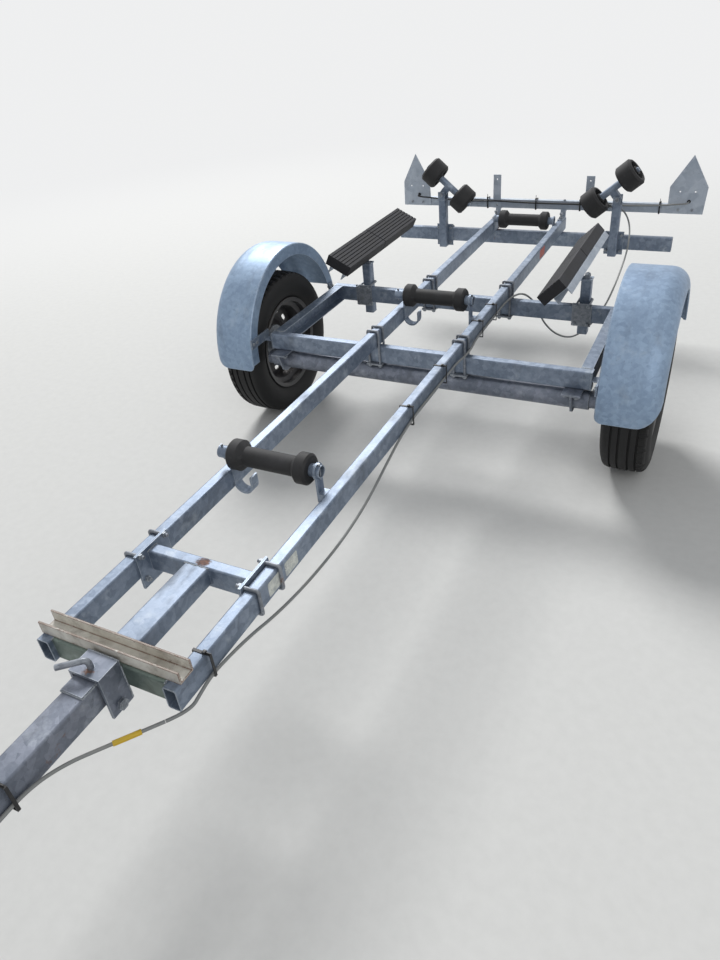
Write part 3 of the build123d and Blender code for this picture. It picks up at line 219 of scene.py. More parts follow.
def add_world():
    world = bpy.data.worlds.new("studio")
    bpy.context.scene.world = world
    world.use_nodes = True
    tree = world.node_tree
    lit = tree.nodes["Background"]
    lit.inputs["Color"].default_value = (0.86, 0.88, 0.91, 1)
    lit.inputs["Strength"].default_value = 0.5
    shown = tree.nodes.new("ShaderNodeBackground")
    shown.inputs["Color"].default_value = BACKDROP
    mix = tree.nodes.new("ShaderNodeMixShader")
    tree.links.new(seen_ray(tree), mix.inputs[0])
    tree.links.new(lit.outputs[0], mix.inputs[1])
    tree.links.new(shown.outputs[0], mix.inputs[2])
    tree.links.new(mix.outputs[0], tree.nodes["World Output"].inputs["Surface"])
    return world


print("world:", add_world().name)

# %% [markdown]
# ## From a bmesh to a piece
# Every new piece is a bmesh that ends as an object at the origin, riding on one body
# of the frame. Faces that meet at a sharp angle keep a hard edge, the rest is smooth.

# %% Finishing a bmesh
def piece_from(bm, name, body, sharp=35):
    bmesh.ops.recalc_face_normals(bm, faces=bm.faces)
    mesh = bpy.data.meshes.new(name)
    bm.to_mesh(mesh)
    bm.free()
    mesh.polygons.foreach_set("use_smooth", [True] * len(mesh.polygons))
    mesh.set_sharp_from_angle(angle=math.radians(sharp))
    piece = bpy.data.objects.new(name, mesh)
    bpy.context.scene.collection.objects.link(piece)
    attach(piece, body)
    print(name, len(mesh.polygons), "faces")
    return piece


def facing(place, way):
    """A matrix that stands a shape's z axis along a direction, at a point in millimetres."""
    turn = Vector(way).to_track_quat("Z", "Y").to_matrix().to_4x4()
    return Matrix.Translation(row_point(place)) @ turn


# %% [markdown]
# ## Tyres with a tread
# The frame's tyres are plain, so each gets a real one. Half a cross-section goes from
# the middle of the tread, with its two grooves, over the shoulder and down the side
# wall to the bead, and back inside. With its mirror image it is spun about the axle in
# steps that are wide and narrow by turns, and the narrow steps of the shoulders are
# pushed in: they are the slots between the tread blocks.

# %% Tyres
WHEEL_X = 693
WHEEL_Y = 1690
WHEEL_Z = 274
TREAD_BLOCKS = 56
SLOT_SHARE = 0.2
SLOT_DEPTH = 0.0065
SHOULDER = (42.4, 64.0)
SHOULDER_RADIUS = 0.2655
HALF_TYRE = [
    (0.0, 273.8), (12.0, 274.0), (13.2, 267.5), (17.6, 267.5), (18.8, 273.8), (35.5, 273.2),
    (36.6, 266.6), (41.2, 266.4), (42.4, 272.8), (52.0, 271.4), (58.5, 269.2), (63.0, 265.5),
    (67.5, 259.0), (71.5, 250.0), (74.2, 240.0), (74.9, 229.0), (73.4, 216.0), (70.0, 203.5),
    (65.0, 192.0), (60.0, 184.5), (57.0, 181.8), (53.7, 176.5), (53.5, 165.4), (44.0, 165.4),
    (50.0, 190.0), (61.0, 214.0), (62.0, 234.0), (54.0, 252.0), (40.0, 260.5), (0.0, 261.5),
]


def tyre_section(bm, middle):
    """The whole cross-section as a closed loop of edges, right half and mirrored left half."""
    right = [(middle + x, r) for x, r in HALF_TYRE]
    left = [(middle - x, r) for x, r in HALF_TYRE[1:-1]]
    loop = right + left[::-1]
    verts = [bm.verts.new(row_point((x, WHEEL_Y, WHEEL_Z + r))) for x, r in loop]
    return verts + [bm.edges.new(pair) for pair in zip(verts, verts[1:] + verts[:1])]


def in_shoulder(face, middle):
    """True for a face of the tread beyond the outer groove, where the blocks are cut."""
    across = abs(face.calc_center_median().x * 1000 - middle)
    centre = Vector(row_point((middle, WHEEL_Y, WHEEL_Z)))
    out = face.calc_center_median() - centre
    return SHOULDER[0] < across < SHOULDER[1] and math.hypot(out.y, out.z) > SHOULDER_RADIUS


def add_tyre(side, sign):
    bm = bmesh.new()
    middle = sign * WHEEL_X
    centre = Vector(row_point((middle, WHEEL_Y, WHEEL_Z)))
    section = tyre_section(bm, middle)
    pitch = 2 * math.pi / TREAD_BLOCKS
    slots = []
    for step in range(2 * TREAD_BLOCKS):
        share = SLOT_SHARE if step % 2 else 1 - SLOT_SHARE
        known = set(bm.faces)
        spun = bmesh.ops.spin(
            bm, geom=section, cent=centre, axis=(1, 0, 0), angle=pitch * share, steps=1,
        )
        section = spun["geom_last"]
        if step % 2:
            slots += [face for face in bm.faces if face not in known and in_shoulder(face, middle)]
    bmesh.ops.remove_doubles(bm, verts=bm.verts, dist=1e-5)
    pushed = bmesh.ops.extrude_face_region(bm, geom=[face for face in slots if face.is_valid])
    for vert in [part for part in pushed["geom"] if isinstance(part, bmesh.types.BMVert)]:
        out = vert.co - centre
        out.x = 0
        vert.co -= out.normalized() * SLOT_DEPTH
    return piece_from(bm, "tyre_tread_" + side, "wheel_" + side, 28)


tyres = [add_tyre(side, sign) for side, sign in (("left", -1), ("right", 1))]
for tread, side in zip(tyres, ("left", "right")):
    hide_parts("tyre_" + side)

# %% [markdown]
# ## Nuts, bolts and washers
# The frame's clamps have their nuts. What is missing is every other fastener: wheel
# nuts, pivot bolts, set screws. Each is a short stack of discs, washer first, on a
# point and a direction, so one table of stacks and one list of places make them all.

# %% Stacks of discs
STACKS = {
    "nut": [(10.5, 2.0, 20, 1.0), (9.6, 7.5, 6, 1.0), (5.0, 4.5, 12, 0.85)],
    "head": [(9.5, 1.8, 20, 1.0), (8.6, 5.5, 6, 0.97)],
    "small": [(6.5, 1.2, 16, 1.0), (5.6, 3.8, 6, 0.97)],
    "dome": [(5.5, 1.6, 14, 0.9), (4.6, 1.6, 14, 0.55)],
    "wheel_nut": [(9.0, 4.0, 16, 1.18), (10.4, 11.0, 6, 0.94), (7.0, 2.0, 12, 0.6)],
    "set_screw": [(9.6, 8.0, 6, 1.0), (4.6, 11.0, 12, 1.0), (8.2, 6.0, 6, 0.96)],
    "pan": [(5.2, 1.6, 14, 0.7)],
}


def add_stack(bm, kind, place, way):
    base = facing(place, way)
    height = 0.0
    for radius, tall, sides, taper in STACKS[kind]:
        lift = Matrix.Translation((0, 0, (height + tall / 2) / 1000))
        bmesh.ops.create_cone(
            bm, cap_ends=True, cap_tris=False, segments=sides, radius1=radius / 1000,
            radius2=radius * taper / 1000, depth=tall / 1000, matrix=base @ lift,
        )
        height += tall


def add_fasteners(name, body, rows):
    bm = bmesh.new()
    for kind, place, way in rows:
        add_stack(bm, kind, place, way)
    return piece_from(bm, name, body)


# %% Wheel nuts
WHEEL_NUTS = 4
NUT_CIRCLE = 50
NUT_SEAT = WHEEL_X + 24.2


def wheel_nut_rows(sign):
    rows = []
    for index in range(WHEEL_NUTS):
        turn = math.radians(360 / WHEEL_NUTS * index + 45)
        y = WHEEL_Y + NUT_CIRCLE * math.cos(turn)
        z = WHEEL_Z + NUT_CIRCLE * math.sin(turn)
        rows.append(("wheel_nut", (sign * NUT_SEAT, y, z), (sign, 0, 0)))
    return rows


wheel_nuts = [
    add_fasteners("wheel_nuts_" + side, "wheel_" + side, wheel_nut_rows(sign))
    for side, sign in (("left", -1), ("right", 1))
]

# %% [markdown]
# The bed's fasteners sit where the photograph shows them: on the roller pivots, on the
# rails over the light board's arms, on the bunks' brackets, the axle plates and the
# guards, and on the light board itself.

# %% Bed fasteners
UP, DOWN, FORWARD, REARWARD = (0, 0, 1), (0, 0, -1), (0, -1, 0), (0, 1, 0)
GUARD_IN = 604
LIGHT_SHIFT = 50
LIGHT_HALF = 615
LIGHT_BAR_Y = 2893
RAILS_X = (-152.5, 152.5)
PIVOTS_X = (-398, 398)
PIVOT_Z = 574
GUARD_BOLTS_Y = (1404, 1424, 1994, 2010)
GUARD_BOLT_Z = 395


def pivot_rows():
    rows = []
    for x in PIVOTS_X:
        rows += [("head", (x, 2776, PIVOT_Z), FORWARD), ("nut", (x, 2828, PIVOT_Z), REARWARD)]
    return rows


def arm_screw_rows():
    rows = [("set_screw", (x, 2848, 466), UP) for x in RAILS_X]
    return rows + [("small", (x, LIGHT_BAR_Y + 8, 532), UP) for x in RAILS_X]


def guard_bolt_rows():
    rows = []
    for sign in (-1, 1):
        for y in GUARD_BOLTS_Y:
            rows.append(("small", (sign * (GUARD_IN - 5), y, GUARD_BOLT_Z), (-sign, 0, 0)))
            rows.append(("small", (sign * (GUARD_IN + 1.6), y, GUARD_BOLT_Z), (sign, 0, 0)))
    return rows


def board_rows():
    """Two screws in each lamp plate and one rivet on each stay of the number plate."""
    rows = []
    front = LIGHT_BAR_Y - 3
    for sign in (-1, 1):
        x = LIGHT_SHIFT + sign * LIGHT_HALF
        rows += [("small", (x + aside, front, 510), FORWARD) for aside in (-28, 28)]
        rows.append(("dome", (LIGHT_SHIFT + sign * 212, front, 507), FORWARD))
    return rows


def axle_plate_rows():
    rows = []
    for sign in (-1, 1):
        for y in (1449, 1541):
            rows.append(("nut", (sign * 537, y, 343), DOWN))
            rows.append(("head", (sign * 503, y, 343), DOWN))
    return rows


def bunk_bracket_rows():
    rows = []
    for x, z in ((436, 506), (-444, 508)):
        rows += [("head", (x, 2031, z), FORWARD), ("nut", (x, 2037, z), REARWARD)]
    return rows


bed_rows = pivot_rows() + arm_screw_rows() + guard_bolt_rows()
bed_rows += board_rows() + axle_plate_rows() + bunk_bracket_rows()
bed_fasteners = add_fasteners("bed_fasteners", "bed", bed_rows)

# %% [markdown]
# ## Bunk pads
# Each bunk carries two thick lengths of ribbed rubber with a narrow joint between
# them, on a pale folded channel. The ribbed section is drawn once as a face and
# extruded to each length, and the channel is a folded strip given its thickness by
# solidify. Four countersunk screws hold the pads down.

# %% Bunk pads
BUNK_MIDDLE = 2162
BUNK_LENGTH = 656
BUNK_HALF_WIDTH = 50
PAD_TOP = 11
PAD_FOOT = -29
PAD_JOINT = 4
BACK_HALF = 30
BACK_DEPTH = 28
BACK_SHEET = 3
RIBS = 7
GROOVE = 4
GROOVE_DEPTH = 3
SLOPE = 0.6
CHAMFER = 1.5
SCREWS = (-255, -87, 87, 255)


def bunk_frame(sign, x, z, tilt):
    """The matrix that leans a bunk towards the middle and puts it on its post."""
    lean = Matrix.Rotation(math.radians(-sign * tilt), 4, "Y")
    return Matrix.Translation(row_point((sign * x, BUNK_MIDDLE, z))) @ lean


def pad_section():
    """The ribbed top from one side to the other, then the flat underside."""
    side, shoulder, bottom = BUNK_HALF_WIDTH, PAD_TOP - CHAMFER, PAD_TOP - GROOVE_DEPTH
    line = [(-side, PAD_FOOT), (-side, shoulder), (-side + CHAMFER, PAD_TOP)]
    for index in range(1, RIBS):
        middle = -side + 2 * side / RIBS * index
        line += [(middle - GROOVE / 2, PAD_TOP), (middle - GROOVE / 2 + SLOPE, bottom)]
        line += [(middle + GROOVE / 2 - SLOPE, bottom), (middle + GROOVE / 2, PAD_TOP)]
    return line + [(side - CHAMFER, PAD_TOP), (side, shoulder), (side, PAD_FOOT)]


def add_pad(name, base):
    bm = bmesh.new()
    length = (BUNK_LENGTH - PAD_JOINT) / 2
    for start in (-BUNK_LENGTH / 2, PAD_JOINT / 2):
        verts = [bm.verts.new((x / 1000, start / 1000, z / 1000)) for x, z in pad_section()]
        grown = bmesh.ops.extrude_face_region(bm, geom=[bm.faces.new(verts)])
        moved = [part for part in grown["geom"] if isinstance(part, bmesh.types.BMVert)]
        bmesh.ops.translate(bm, vec=(0, length / 1000, 0), verts=moved)
    bmesh.ops.transform(bm, matrix=base, verts=bm.verts)
    return piece_from(bm, name, "bed")


def add_back(name, base, shift):
    """A channel open at the bottom: two sides and the web under the pad, folded from one strip."""
    bm = bmesh.new()
    foot = PAD_FOOT - BACK_DEPTH
    fold = [(-BACK_HALF, foot), (-BACK_HALF, PAD_FOOT - 3), (-BACK_HALF + 3, PAD_FOOT)]
    fold += [(-x, z) for x, z in fold[::-1]]
    reach = BUNK_LENGTH / 2 - 3
    verts = [bm.verts.new(((x + shift) / 1000, -reach / 1000, z / 1000)) for x, z in fold]
    edges = [bm.edges.new(pair) for pair in zip(verts, verts[1:])]
    grown = bmesh.ops.extrude_edge_only(bm, edges=edges)
    moved = [part for part in grown["geom"] if isinstance(part, bmesh.types.BMVert)]
    bmesh.ops.translate(bm, vec=(0, 2 * reach / 1000, 0), verts=moved)
    bmesh.ops.recalc_face_normals(bm, faces=bm.faces)
    web = max(bm.faces, key=lambda face: face.calc_center_median().z)
    way = 1 if web.normal.z > 0 else -1
    bmesh.ops.solidify(bm, geom=list(bm.faces), thickness=way * BACK_SHEET / 1000)
    bmesh.ops.transform(bm, matrix=base, verts=bm.verts)
    return piece_from(bm, name, "bed", 40)


def add_screws(name, base):
    bm = bmesh.new()
    for along in SCREWS:
        for radius, low, tall in ((6.4, PAD_TOP - 3, 2.2), (2.6, PAD_TOP - 3, 3.0)):
            spot = base @ Matrix.Translation((0, along / 1000, (low + tall / 2) / 1000))
            bmesh.ops.create_cone(
                bm, cap_ends=True, cap_tris=False, segments=14, radius1=radius / 1000,
                radius2=0.85 * radius / 1000, depth=tall / 1000, matrix=spot,
            )
    return piece_from(bm, name, "bed")


BUNK_PLACES = {"left": (-1, 457, 556, 26.6, 0), "right": (1, 350, 516, 45, 20)}
bunk_pads = []
bunk_backs = []
bunk_screws = []
for side, (sign, x, z, tilt, shift) in BUNK_PLACES.items():
    base = bunk_frame(sign, x, z, tilt)
    bunk_pads.append(add_pad("ribbed_pad_" + side, base))
    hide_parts("bunk_pad_" + side)
    bunk_backs.append(add_back("folded_back_" + side, base, sign * shift))
    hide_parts("bunk_back_" + side)
    bunk_screws.append(add_screws("pad_screws_" + side, base))

# %% [markdown]
# ## Mudguards
# A mudguard is one sheet, rolled softly over the tyre's outer shoulder. Its open
# outline is spun about the guard's axis. Three corners, both in front and the outer
# one behind, are cut round by a few bisecting planes each, and solidify then gives the
# sheet its thickness. A wire bead runs along the outer edge and stiffens it.

# %% Mudguards
GUARD_Y = 1712
GUARD_Z = 326
GUARD_OUT = 784
GUARD_RADIUS = 325
GUARD_FLANGE = 42
GUARD_ROLL = 58
GUARD_LIP = 64
GUARD_SHEET = 1.6
GUARD_START = 12
GUARD_END = 186
SWEEP_STEPS = 87
ROLL_STEPS = 8
BEAD = 3.0
BEAD_START = 18
BEAD_SWEEP = 152.5


def guard_outline():
    """The sheet's section: inner flange, flat crown, wide roll and the lip that hangs down."""
    line = [(GUARD_IN, GUARD_RADIUS - GUARD_FLANGE), (GUARD_IN, GUARD_RADIUS - 3)]
    line.append((GUARD_IN + 3, GUARD_RADIUS))
    for step in range(ROLL_STEPS + 1):
        turn = math.radians(90 - 90 / ROLL_STEPS * step)
        x = GUARD_OUT - GUARD_ROLL + GUARD_ROLL * math.cos(turn)
        line.append((x, GUARD_RADIUS - GUARD_ROLL + GUARD_ROLL * math.sin(turn)))
    return line + [(GUARD_OUT, GUARD_RADIUS - GUARD_LIP)]


def round_corner(bm, edge, outward, radius, foot, y_span):
    """Cut the corner below and beyond an arc away, with planes that touch the arc."""
    centre = (edge - outward * radius, foot + radius)
    low, high = (row_point((0, y, 0))[1] for y in y_span)
    for step in range(6):
        turn = math.radians(7.5 + 15 * step)
        way = Vector((outward * math.cos(turn), 0, -math.sin(turn)))
        touch = Vector(row_point((centre[0], 0, centre[1]))) + way * radius / 1000
        faces = [face for face in bm.faces if low < face.calc_center_median().y < high]
        parts = list({part for face in faces for part in (*face.verts, *face.edges)}) + faces
        bmesh.ops.bisect_plane(bm, geom=parts, plane_co=touch, plane_no=way, clear_outer=True)


def add_guard(side, sign):
    bm = bmesh.new()
    start = math.radians(GUARD_START)
    spots = [
        (sign * x, GUARD_Y + r * math.cos(start), GUARD_Z + r * math.sin(start))
        for x, r in guard_outline()
    ]
    verts = [bm.verts.new(row_point(spot)) for spot in spots]
    edges = [bm.edges.new(pair) for pair in zip(verts, verts[1:])]
    sweep = math.radians(GUARD_END - GUARD_START)
    bmesh.ops.spin(
        bm, geom=verts + edges, cent=row_point((0, GUARD_Y, GUARD_Z)), axis=(1, 0, 0),
        angle=sweep, steps=SWEEP_STEPS,
    )
    foot = GUARD_Z + GUARD_RADIUS * math.sin(math.radians(GUARD_END))
    front = (GUARD_Y - GUARD_RADIUS - 1, GUARD_Y - GUARD_RADIUS + GUARD_LIP + 20)
    round_corner(bm, sign * GUARD_OUT, sign, 70, foot, front)
    round_corner(bm, sign * GUARD_IN, -sign, 24, foot, front)
    tail = GUARD_Z + (GUARD_RADIUS - GUARD_LIP) * math.sin(start)
    back = (GUARD_Y + GUARD_RADIUS - GUARD_LIP - 20, GUARD_Y + GUARD_RADIUS + 1)
    round_corner(bm, sign * GUARD_OUT, sign, 24, tail, back)
    bmesh.ops.recalc_face_normals(bm, faces=bm.faces)
    centre = Vector(row_point((sign * 690, GUARD_Y, GUARD_Z)))
    top = max(bm.faces, key=lambda face: face.calc_center_median().z)
    inward = -1 if (top.calc_center_median() - centre).dot(top.normal) > 0 else 1
    bmesh.ops.solidify(bm, geom=list(bm.faces), thickness=-inward * GUARD_SHEET / 1000)
    return piece_from(bm, "rolled_guard_" + side, "bed", 40)


def add_bead(side, sign):
    bm = bmesh.new()
    turn = math.radians(BEAD_START)
    reach = GUARD_RADIUS - GUARD_LIP + BEAD / 2
    y, z = GUARD_Y + reach * math.cos(turn), GUARD_Z + reach * math.sin(turn)
    along = (0, -math.sin(turn), math.cos(turn))
    ring = bmesh.ops.create_circle(
        bm, cap_ends=True, segments=10, radius=BEAD / 1000,
        matrix=facing((sign * (GUARD_OUT - BEAD), y, z), along),
    )
    edges = {edge for vert in ring["verts"] for edge in vert.link_edges}
    faces = {face for vert in ring["verts"] for face in vert.link_faces}
    geom = list(ring["verts"]) + list(edges) + list(faces)
    centre = row_point((0, GUARD_Y, GUARD_Z))
    bmesh.ops.spin(
        bm, geom=geom, cent=centre, axis=(1, 0, 0), angle=math.radians(BEAD_SWEEP), steps=72,
    )
    return piece_from(bm, "guard_bead_" + side, "bed", 60)


rolled_guards = [add_guard(side, sign) for side, sign in (("left", -1), ("right", 1))]
for guard, side in zip(rolled_guards, ("left", "right")):
    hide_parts("mudguard_" + side)
guard_beads = [add_bead(side, sign) for side, sign in (("left", -1), ("right", 1))]

# %% [markdown]
# ## Weld beads
# Where the tubes meet, a hand-laid weld leaves a row of overlapping drops. Each drop
# is a small icosphere, a little out of line with its neighbours.

# %% Welds
random.seed(7)
DROP_PITCH = 2.6
WELDS = {
    "bed": [
        ((-137, 10, 461), (-137, 40, 461)), ((137, 10, 461), (137, 40, 461)),
        ((-137, 40, 410), (-137, 40, 459)), ((137, 40, 410), (137, 40, 459)),
        ((-30, 40, 461), (30, 40, 461)), ((-30, 284, 461), (30, 284, 461)),
        ((-30, 40, 420), (-30, 40, 459)), ((30, 40, 420), (30, 40, 459)),
        ((-131, 284, 461), (-131, 314, 461)), ((131, 284, 461), (131, 314, 461)),
        ((36, 10, 378), (36, 10, 460)), ((-36, 10, 378), (-36, 10, 460)),
        ((-36, 10, 476), (36, 10, 476)), ((-568, 1509, 407), (-536, 1509, 407)),
        ((536, 1509, 407), (568, 1509, 407)), ((-568, 1987, 407), (-536, 1987, 407)),
        ((536, 1987, 407), (568, 1987, 407)), ((-570, 1482, 350), (-570, 1482, 406)),
        ((570, 1482, 350), (570, 1482, 406)), ((-414, 2784, 550), (-382, 2784, 550)),
        ((382, 2784, 550), (414, 2784, 550)), ((418, 2031, 497), (454, 2031, 497)),
        ((-454, 2031, 497), (-418, 2031, 497)),
    ],
    "drawbar": [
        ((-25, -75, 463), (25, -75, 463)), ((-25, -72, 463), (-25, -12, 463)),
        ((25, -72, 463), (25, -12, 463)), ((-22, -28, 401), (22, -28, 401)),
    ],
}


def add_welds(body):
    bm = bmesh.new()
    for start, end in WELDS[body]:
        start, end = Vector(start), Vector(end)
        drops = max(3, int((end - start).length / DROP_PITCH))
        for index in range(drops + 1):
            drift = Vector([random.uniform(-0.35, 0.35) for _ in range(3)])
            spot = start.lerp(end, index / drops) + drift
            size = random.uniform(2.0, 2.7) / 1000
            place = Matrix.Translation(row_point(spot))
            bmesh.ops.create_icosphere(bm, subdivisions=1, radius=size, matrix=place)
    return piece_from(bm, "welds_" + body, body, 80)


weld_beads = [add_welds(body) for body in WELDS]

# %% [markdown]
# ## Cable tie heads
# A cable tie ends in a square head with its cut tail. The frame has the bands on the
# rail, and a bevelled box and a strip finish each of them. The bands on the light
# board, where its own leads run, are four thin boxes each.

# %% Tie heads
RAIL_TIES = (92, 1040, 1300, 1650, 1800)
BOARD_TIES = (-205, 25, 225, 562)
DRAWBAR_TIES = (-700, -520, -250)
TIE_TOP = 465.5


def add_block(bm, place, size, bevel=0.6):
    cube = bmesh.ops.create_cube(bm, size=1.0)
    bmesh.ops.scale(bm, vec=Vector(size) / 1000, verts=cube["verts"])
    bmesh.ops.translate(bm, vec=Vector(row_point(place)), verts=cube["verts"])
    edges = list({edge for vert in cube["verts"] for edge in vert.link_edges})
    bmesh.ops.bevel(
        bm, geom=edges, offset=bevel / 1000, segments=2, profile=0.5, affect="EDGES",
        material=-1,
    )


def add_tie_heads(name, body, spots):
    bm = bmesh.new()
    for place, tail in spots:
        add_block(bm, place, (7, 8, 5.5))
        end = Vector(place) + Vector(tail) * 8
        size = [2.2 + 14 * abs(part) for part in tail]
        add_block(bm, tuple(end), size, 0.4)
    return piece_from(bm, name, body)


def add_board_ties():
    """Bands round the light bar and the lead that lies on it."""
    bm = bmesh.new()
    for x in BOARD_TIES:
        for z in (493, 537.5):
            add_block(bm, (x, 2898.5, z), (6, 34, 1.4), 0.3)
        for y in (2881.5, 2914.1):
            add_block(bm, (x, y, 515.2), (6, 1.4, 45.5), 0.3)
    return piece_from(bm, "board_ties", "bed")


bed_spots = [((163, y, TIE_TOP), (1, 0, 0)) for y in RAIL_TIES]
bed_spots += [((x, 2882, 541), (0, 0, 1)) for x in BOARD_TIES]
drawbar_spots = [((14, y, TIE_TOP), (1, 0, 0)) for y in DRAWBAR_TIES]
board_ties = add_board_ties()
tie_heads = [
    add_tie_heads("tie_heads_bed", "bed", bed_spots),
    add_tie_heads("tie_heads_drawbar", "drawbar", drawbar_spots),
]

# %% [markdown]
# ## Blank labels on the right rail
# A red label, faded and left blank, sits far back on the rail's outer side, and two
# pale remnants of older ones are scraped thin near the front. Each is a thin sheet.

# %% Labels
RAIL_SIDE = 167.55


def add_label(name, y, z, thick=0.35):
    bm = bmesh.new()
    size = (thick, y[1] - y[0], z[1] - z[0])
    cube = bmesh.ops.create_cube(bm, size=1.0)
    bmesh.ops.scale(bm, vec=Vector(size) / 1000, verts=cube["verts"])
    middle = (RAIL_SIDE + thick / 2, sum(y) / 2, sum(z) / 2)
    bmesh.ops.translate(bm, vec=Vector(row_point(middle)), verts=cube["verts"])
    through = [edge.verts[0].co.x - edge.verts[1].co.x for edge in bm.edges]
    corners = [edge for edge, depth in zip(bm.edges, through) if abs(depth) > 1e-5]
    bmesh.ops.bevel(
        bm, geom=corners, offset=0.004, segments=4, profile=0.5, affect="EDGES", material=-1,
    )
    return piece_from(bm, name, "bed")


red_label = add_label("red_label", (2424, 2500), (419, 455))
pale_labels = [
    add_label("pale_label_front", (296, 346), (417, 452)),
    add_label("pale_label_rear", (362, 412), (417, 452)),
]

# %% [markdown]
# ## Pins in the keel rollers' spindles
# A pin through each end of a spindle keeps it in its brackets. It is a thin rod with a
# wider disc near its top.

# %% Spindle pins
ROLLERS_Y = (626, 1717)
SPINDLE_Z = 504
SPINDLE_ENDS = (-161, 115)
PIN_DISCS = [(2.2, 44, 0), (3.4, 5, 19)]


def add_spindle_pins():
    bm = bmesh.new()
    for place in [(x, y) for y in ROLLERS_Y for x in SPINDLE_ENDS]:
        for radius, tall, lift in PIN_DISCS:
            bmesh.ops.create_cone(
                bm, cap_ends=True, cap_tris=False, segments=10, radius1=radius / 1000,
                radius2=radius / 1000, depth=tall / 1000,
                matrix=facing((*place, SPINDLE_Z + lift), UP),
            )
    return piece_from(bm, "spindle_pins", "bed")


spindle_pins = add_spindle_pins()

# %% [markdown]
# ## Hooks of the keel rollers
# The left strap of the two front rollers runs on under the rail as a hook. Its end
# face, a thin rectangle, is spun half a turn and then drawn straight up.

# %% Keel hooks
HOOK_X = -135
HOOK_REACH = 26
HOOK_TOP = 424
HOOK_RISE = 24
STRAP_HALF = (2.5, 14)


def add_keel_hooks():
    bm = bmesh.new()
    x, y = STRAP_HALF
    for middle in ROLLERS_Y:
        corners = [(HOOK_X - x, middle - y), (HOOK_X + x, middle - y)]
        corners += [(HOOK_X + x, middle + y), (HOOK_X - x, middle + y)]
        face = bm.faces.new([bm.verts.new(row_point((*spot, HOOK_TOP))) for spot in corners])
        centre = row_point((HOOK_X + HOOK_REACH, middle, HOOK_TOP))
        geom = [face, *face.edges, *face.verts]
        turned = bmesh.ops.spin(
            bm, geom=geom, cent=centre, axis=(0, 1, 0), angle=-math.pi, steps=14,
        )
        last = [part for part in turned["geom_last"] if isinstance(part, bmesh.types.BMFace)]
        grown = bmesh.ops.extrude_face_region(bm, geom=last)
        moved = [part for part in grown["geom"] if isinstance(part, bmesh.types.BMVert)]
        bmesh.ops.translate(bm, vec=(0, 0, HOOK_RISE / 1000), verts=moved)
    return piece_from(bm, "keel_hooks", "bed")


keel_hooks = add_keel_hooks()

# %% [markdown]
# ## Splice and grommets of the board's leads
# The two leads of the light board and the bed's cable meet in a black splice. Where
# a lead leaves a lamp plate it passes a rubber grommet.

# %% Splice and grommets
SPLICE_MIDDLE = (325, 2884, 520)
GROMMETS_X = (-555, 675)


def add_splice():
    bm = bmesh.new()
    for radius, tall in ((9, 50), (7.6, 58)):
        bmesh.ops.create_cone(
            bm, cap_ends=True, cap_tris=False, segments=20, radius1=radius / 1000,
            radius2=radius / 1000, depth=tall / 1000, matrix=facing(SPLICE_MIDDLE, (1, 0, 0)),
        )
    for x in GROMMETS_X:
        bmesh.ops.create_cone(
            bm, cap_ends=True, cap_tris=False, segments=20, radius1=0.008, radius2=0.006,
            depth=0.005, matrix=facing((x, 2887.6, 545), FORWARD),
        )
    return piece_from(bm, "splice_and_grommets", "bed")


splice = add_splice()

# %% [markdown]
# ## Maths on sockets
# A worn finish is a sum of masks. Writing `1 - mask` is easier to read than wiring
# nodes by hand, so a small class wraps a socket and turns each operator into one
# Math node.

# %% Wire
class Wire:
    """One output socket that can be added, multiplied and compared."""

    def __init__(self, finish, socket):
        self.finish = finish
        self.socket = socket

    def maths(self, operation, first, second=0.0):
        settings = {"operation": operation}
        return self.finish.node("ShaderNodeMath", settings, {0: first, 1: second})

    def __add__(self, other):
        return self.maths("ADD", self, other)

    def __radd__(self, other):
        return self.maths("ADD", other, self)

    def __sub__(self, other):
        return self.maths("SUBTRACT", self, other)

    def __rsub__(self, other):
        return self.maths("SUBTRACT", other, self)

    def __mul__(self, other):
        return self.maths("MULTIPLY", self, other)

    def __rmul__(self, other):
        return self.maths("MULTIPLY", other, self)


# %% [markdown]
# ## A finish and its masks
# `Finish` is a material with its Principled shader, and one method adds every kind of
# node. The rest are masks: `clouds` is noise, `cut` turns a value into a soft step,
# `edges` finds edges, for worn paint and for a painted highlight, `near` is a round spot
# and `upward` is what faces the sky.
# The frame has materials of its own with some of these names, so `FINISHES` keeps
# the scene's.

# %% Finish
FINISHES = {}


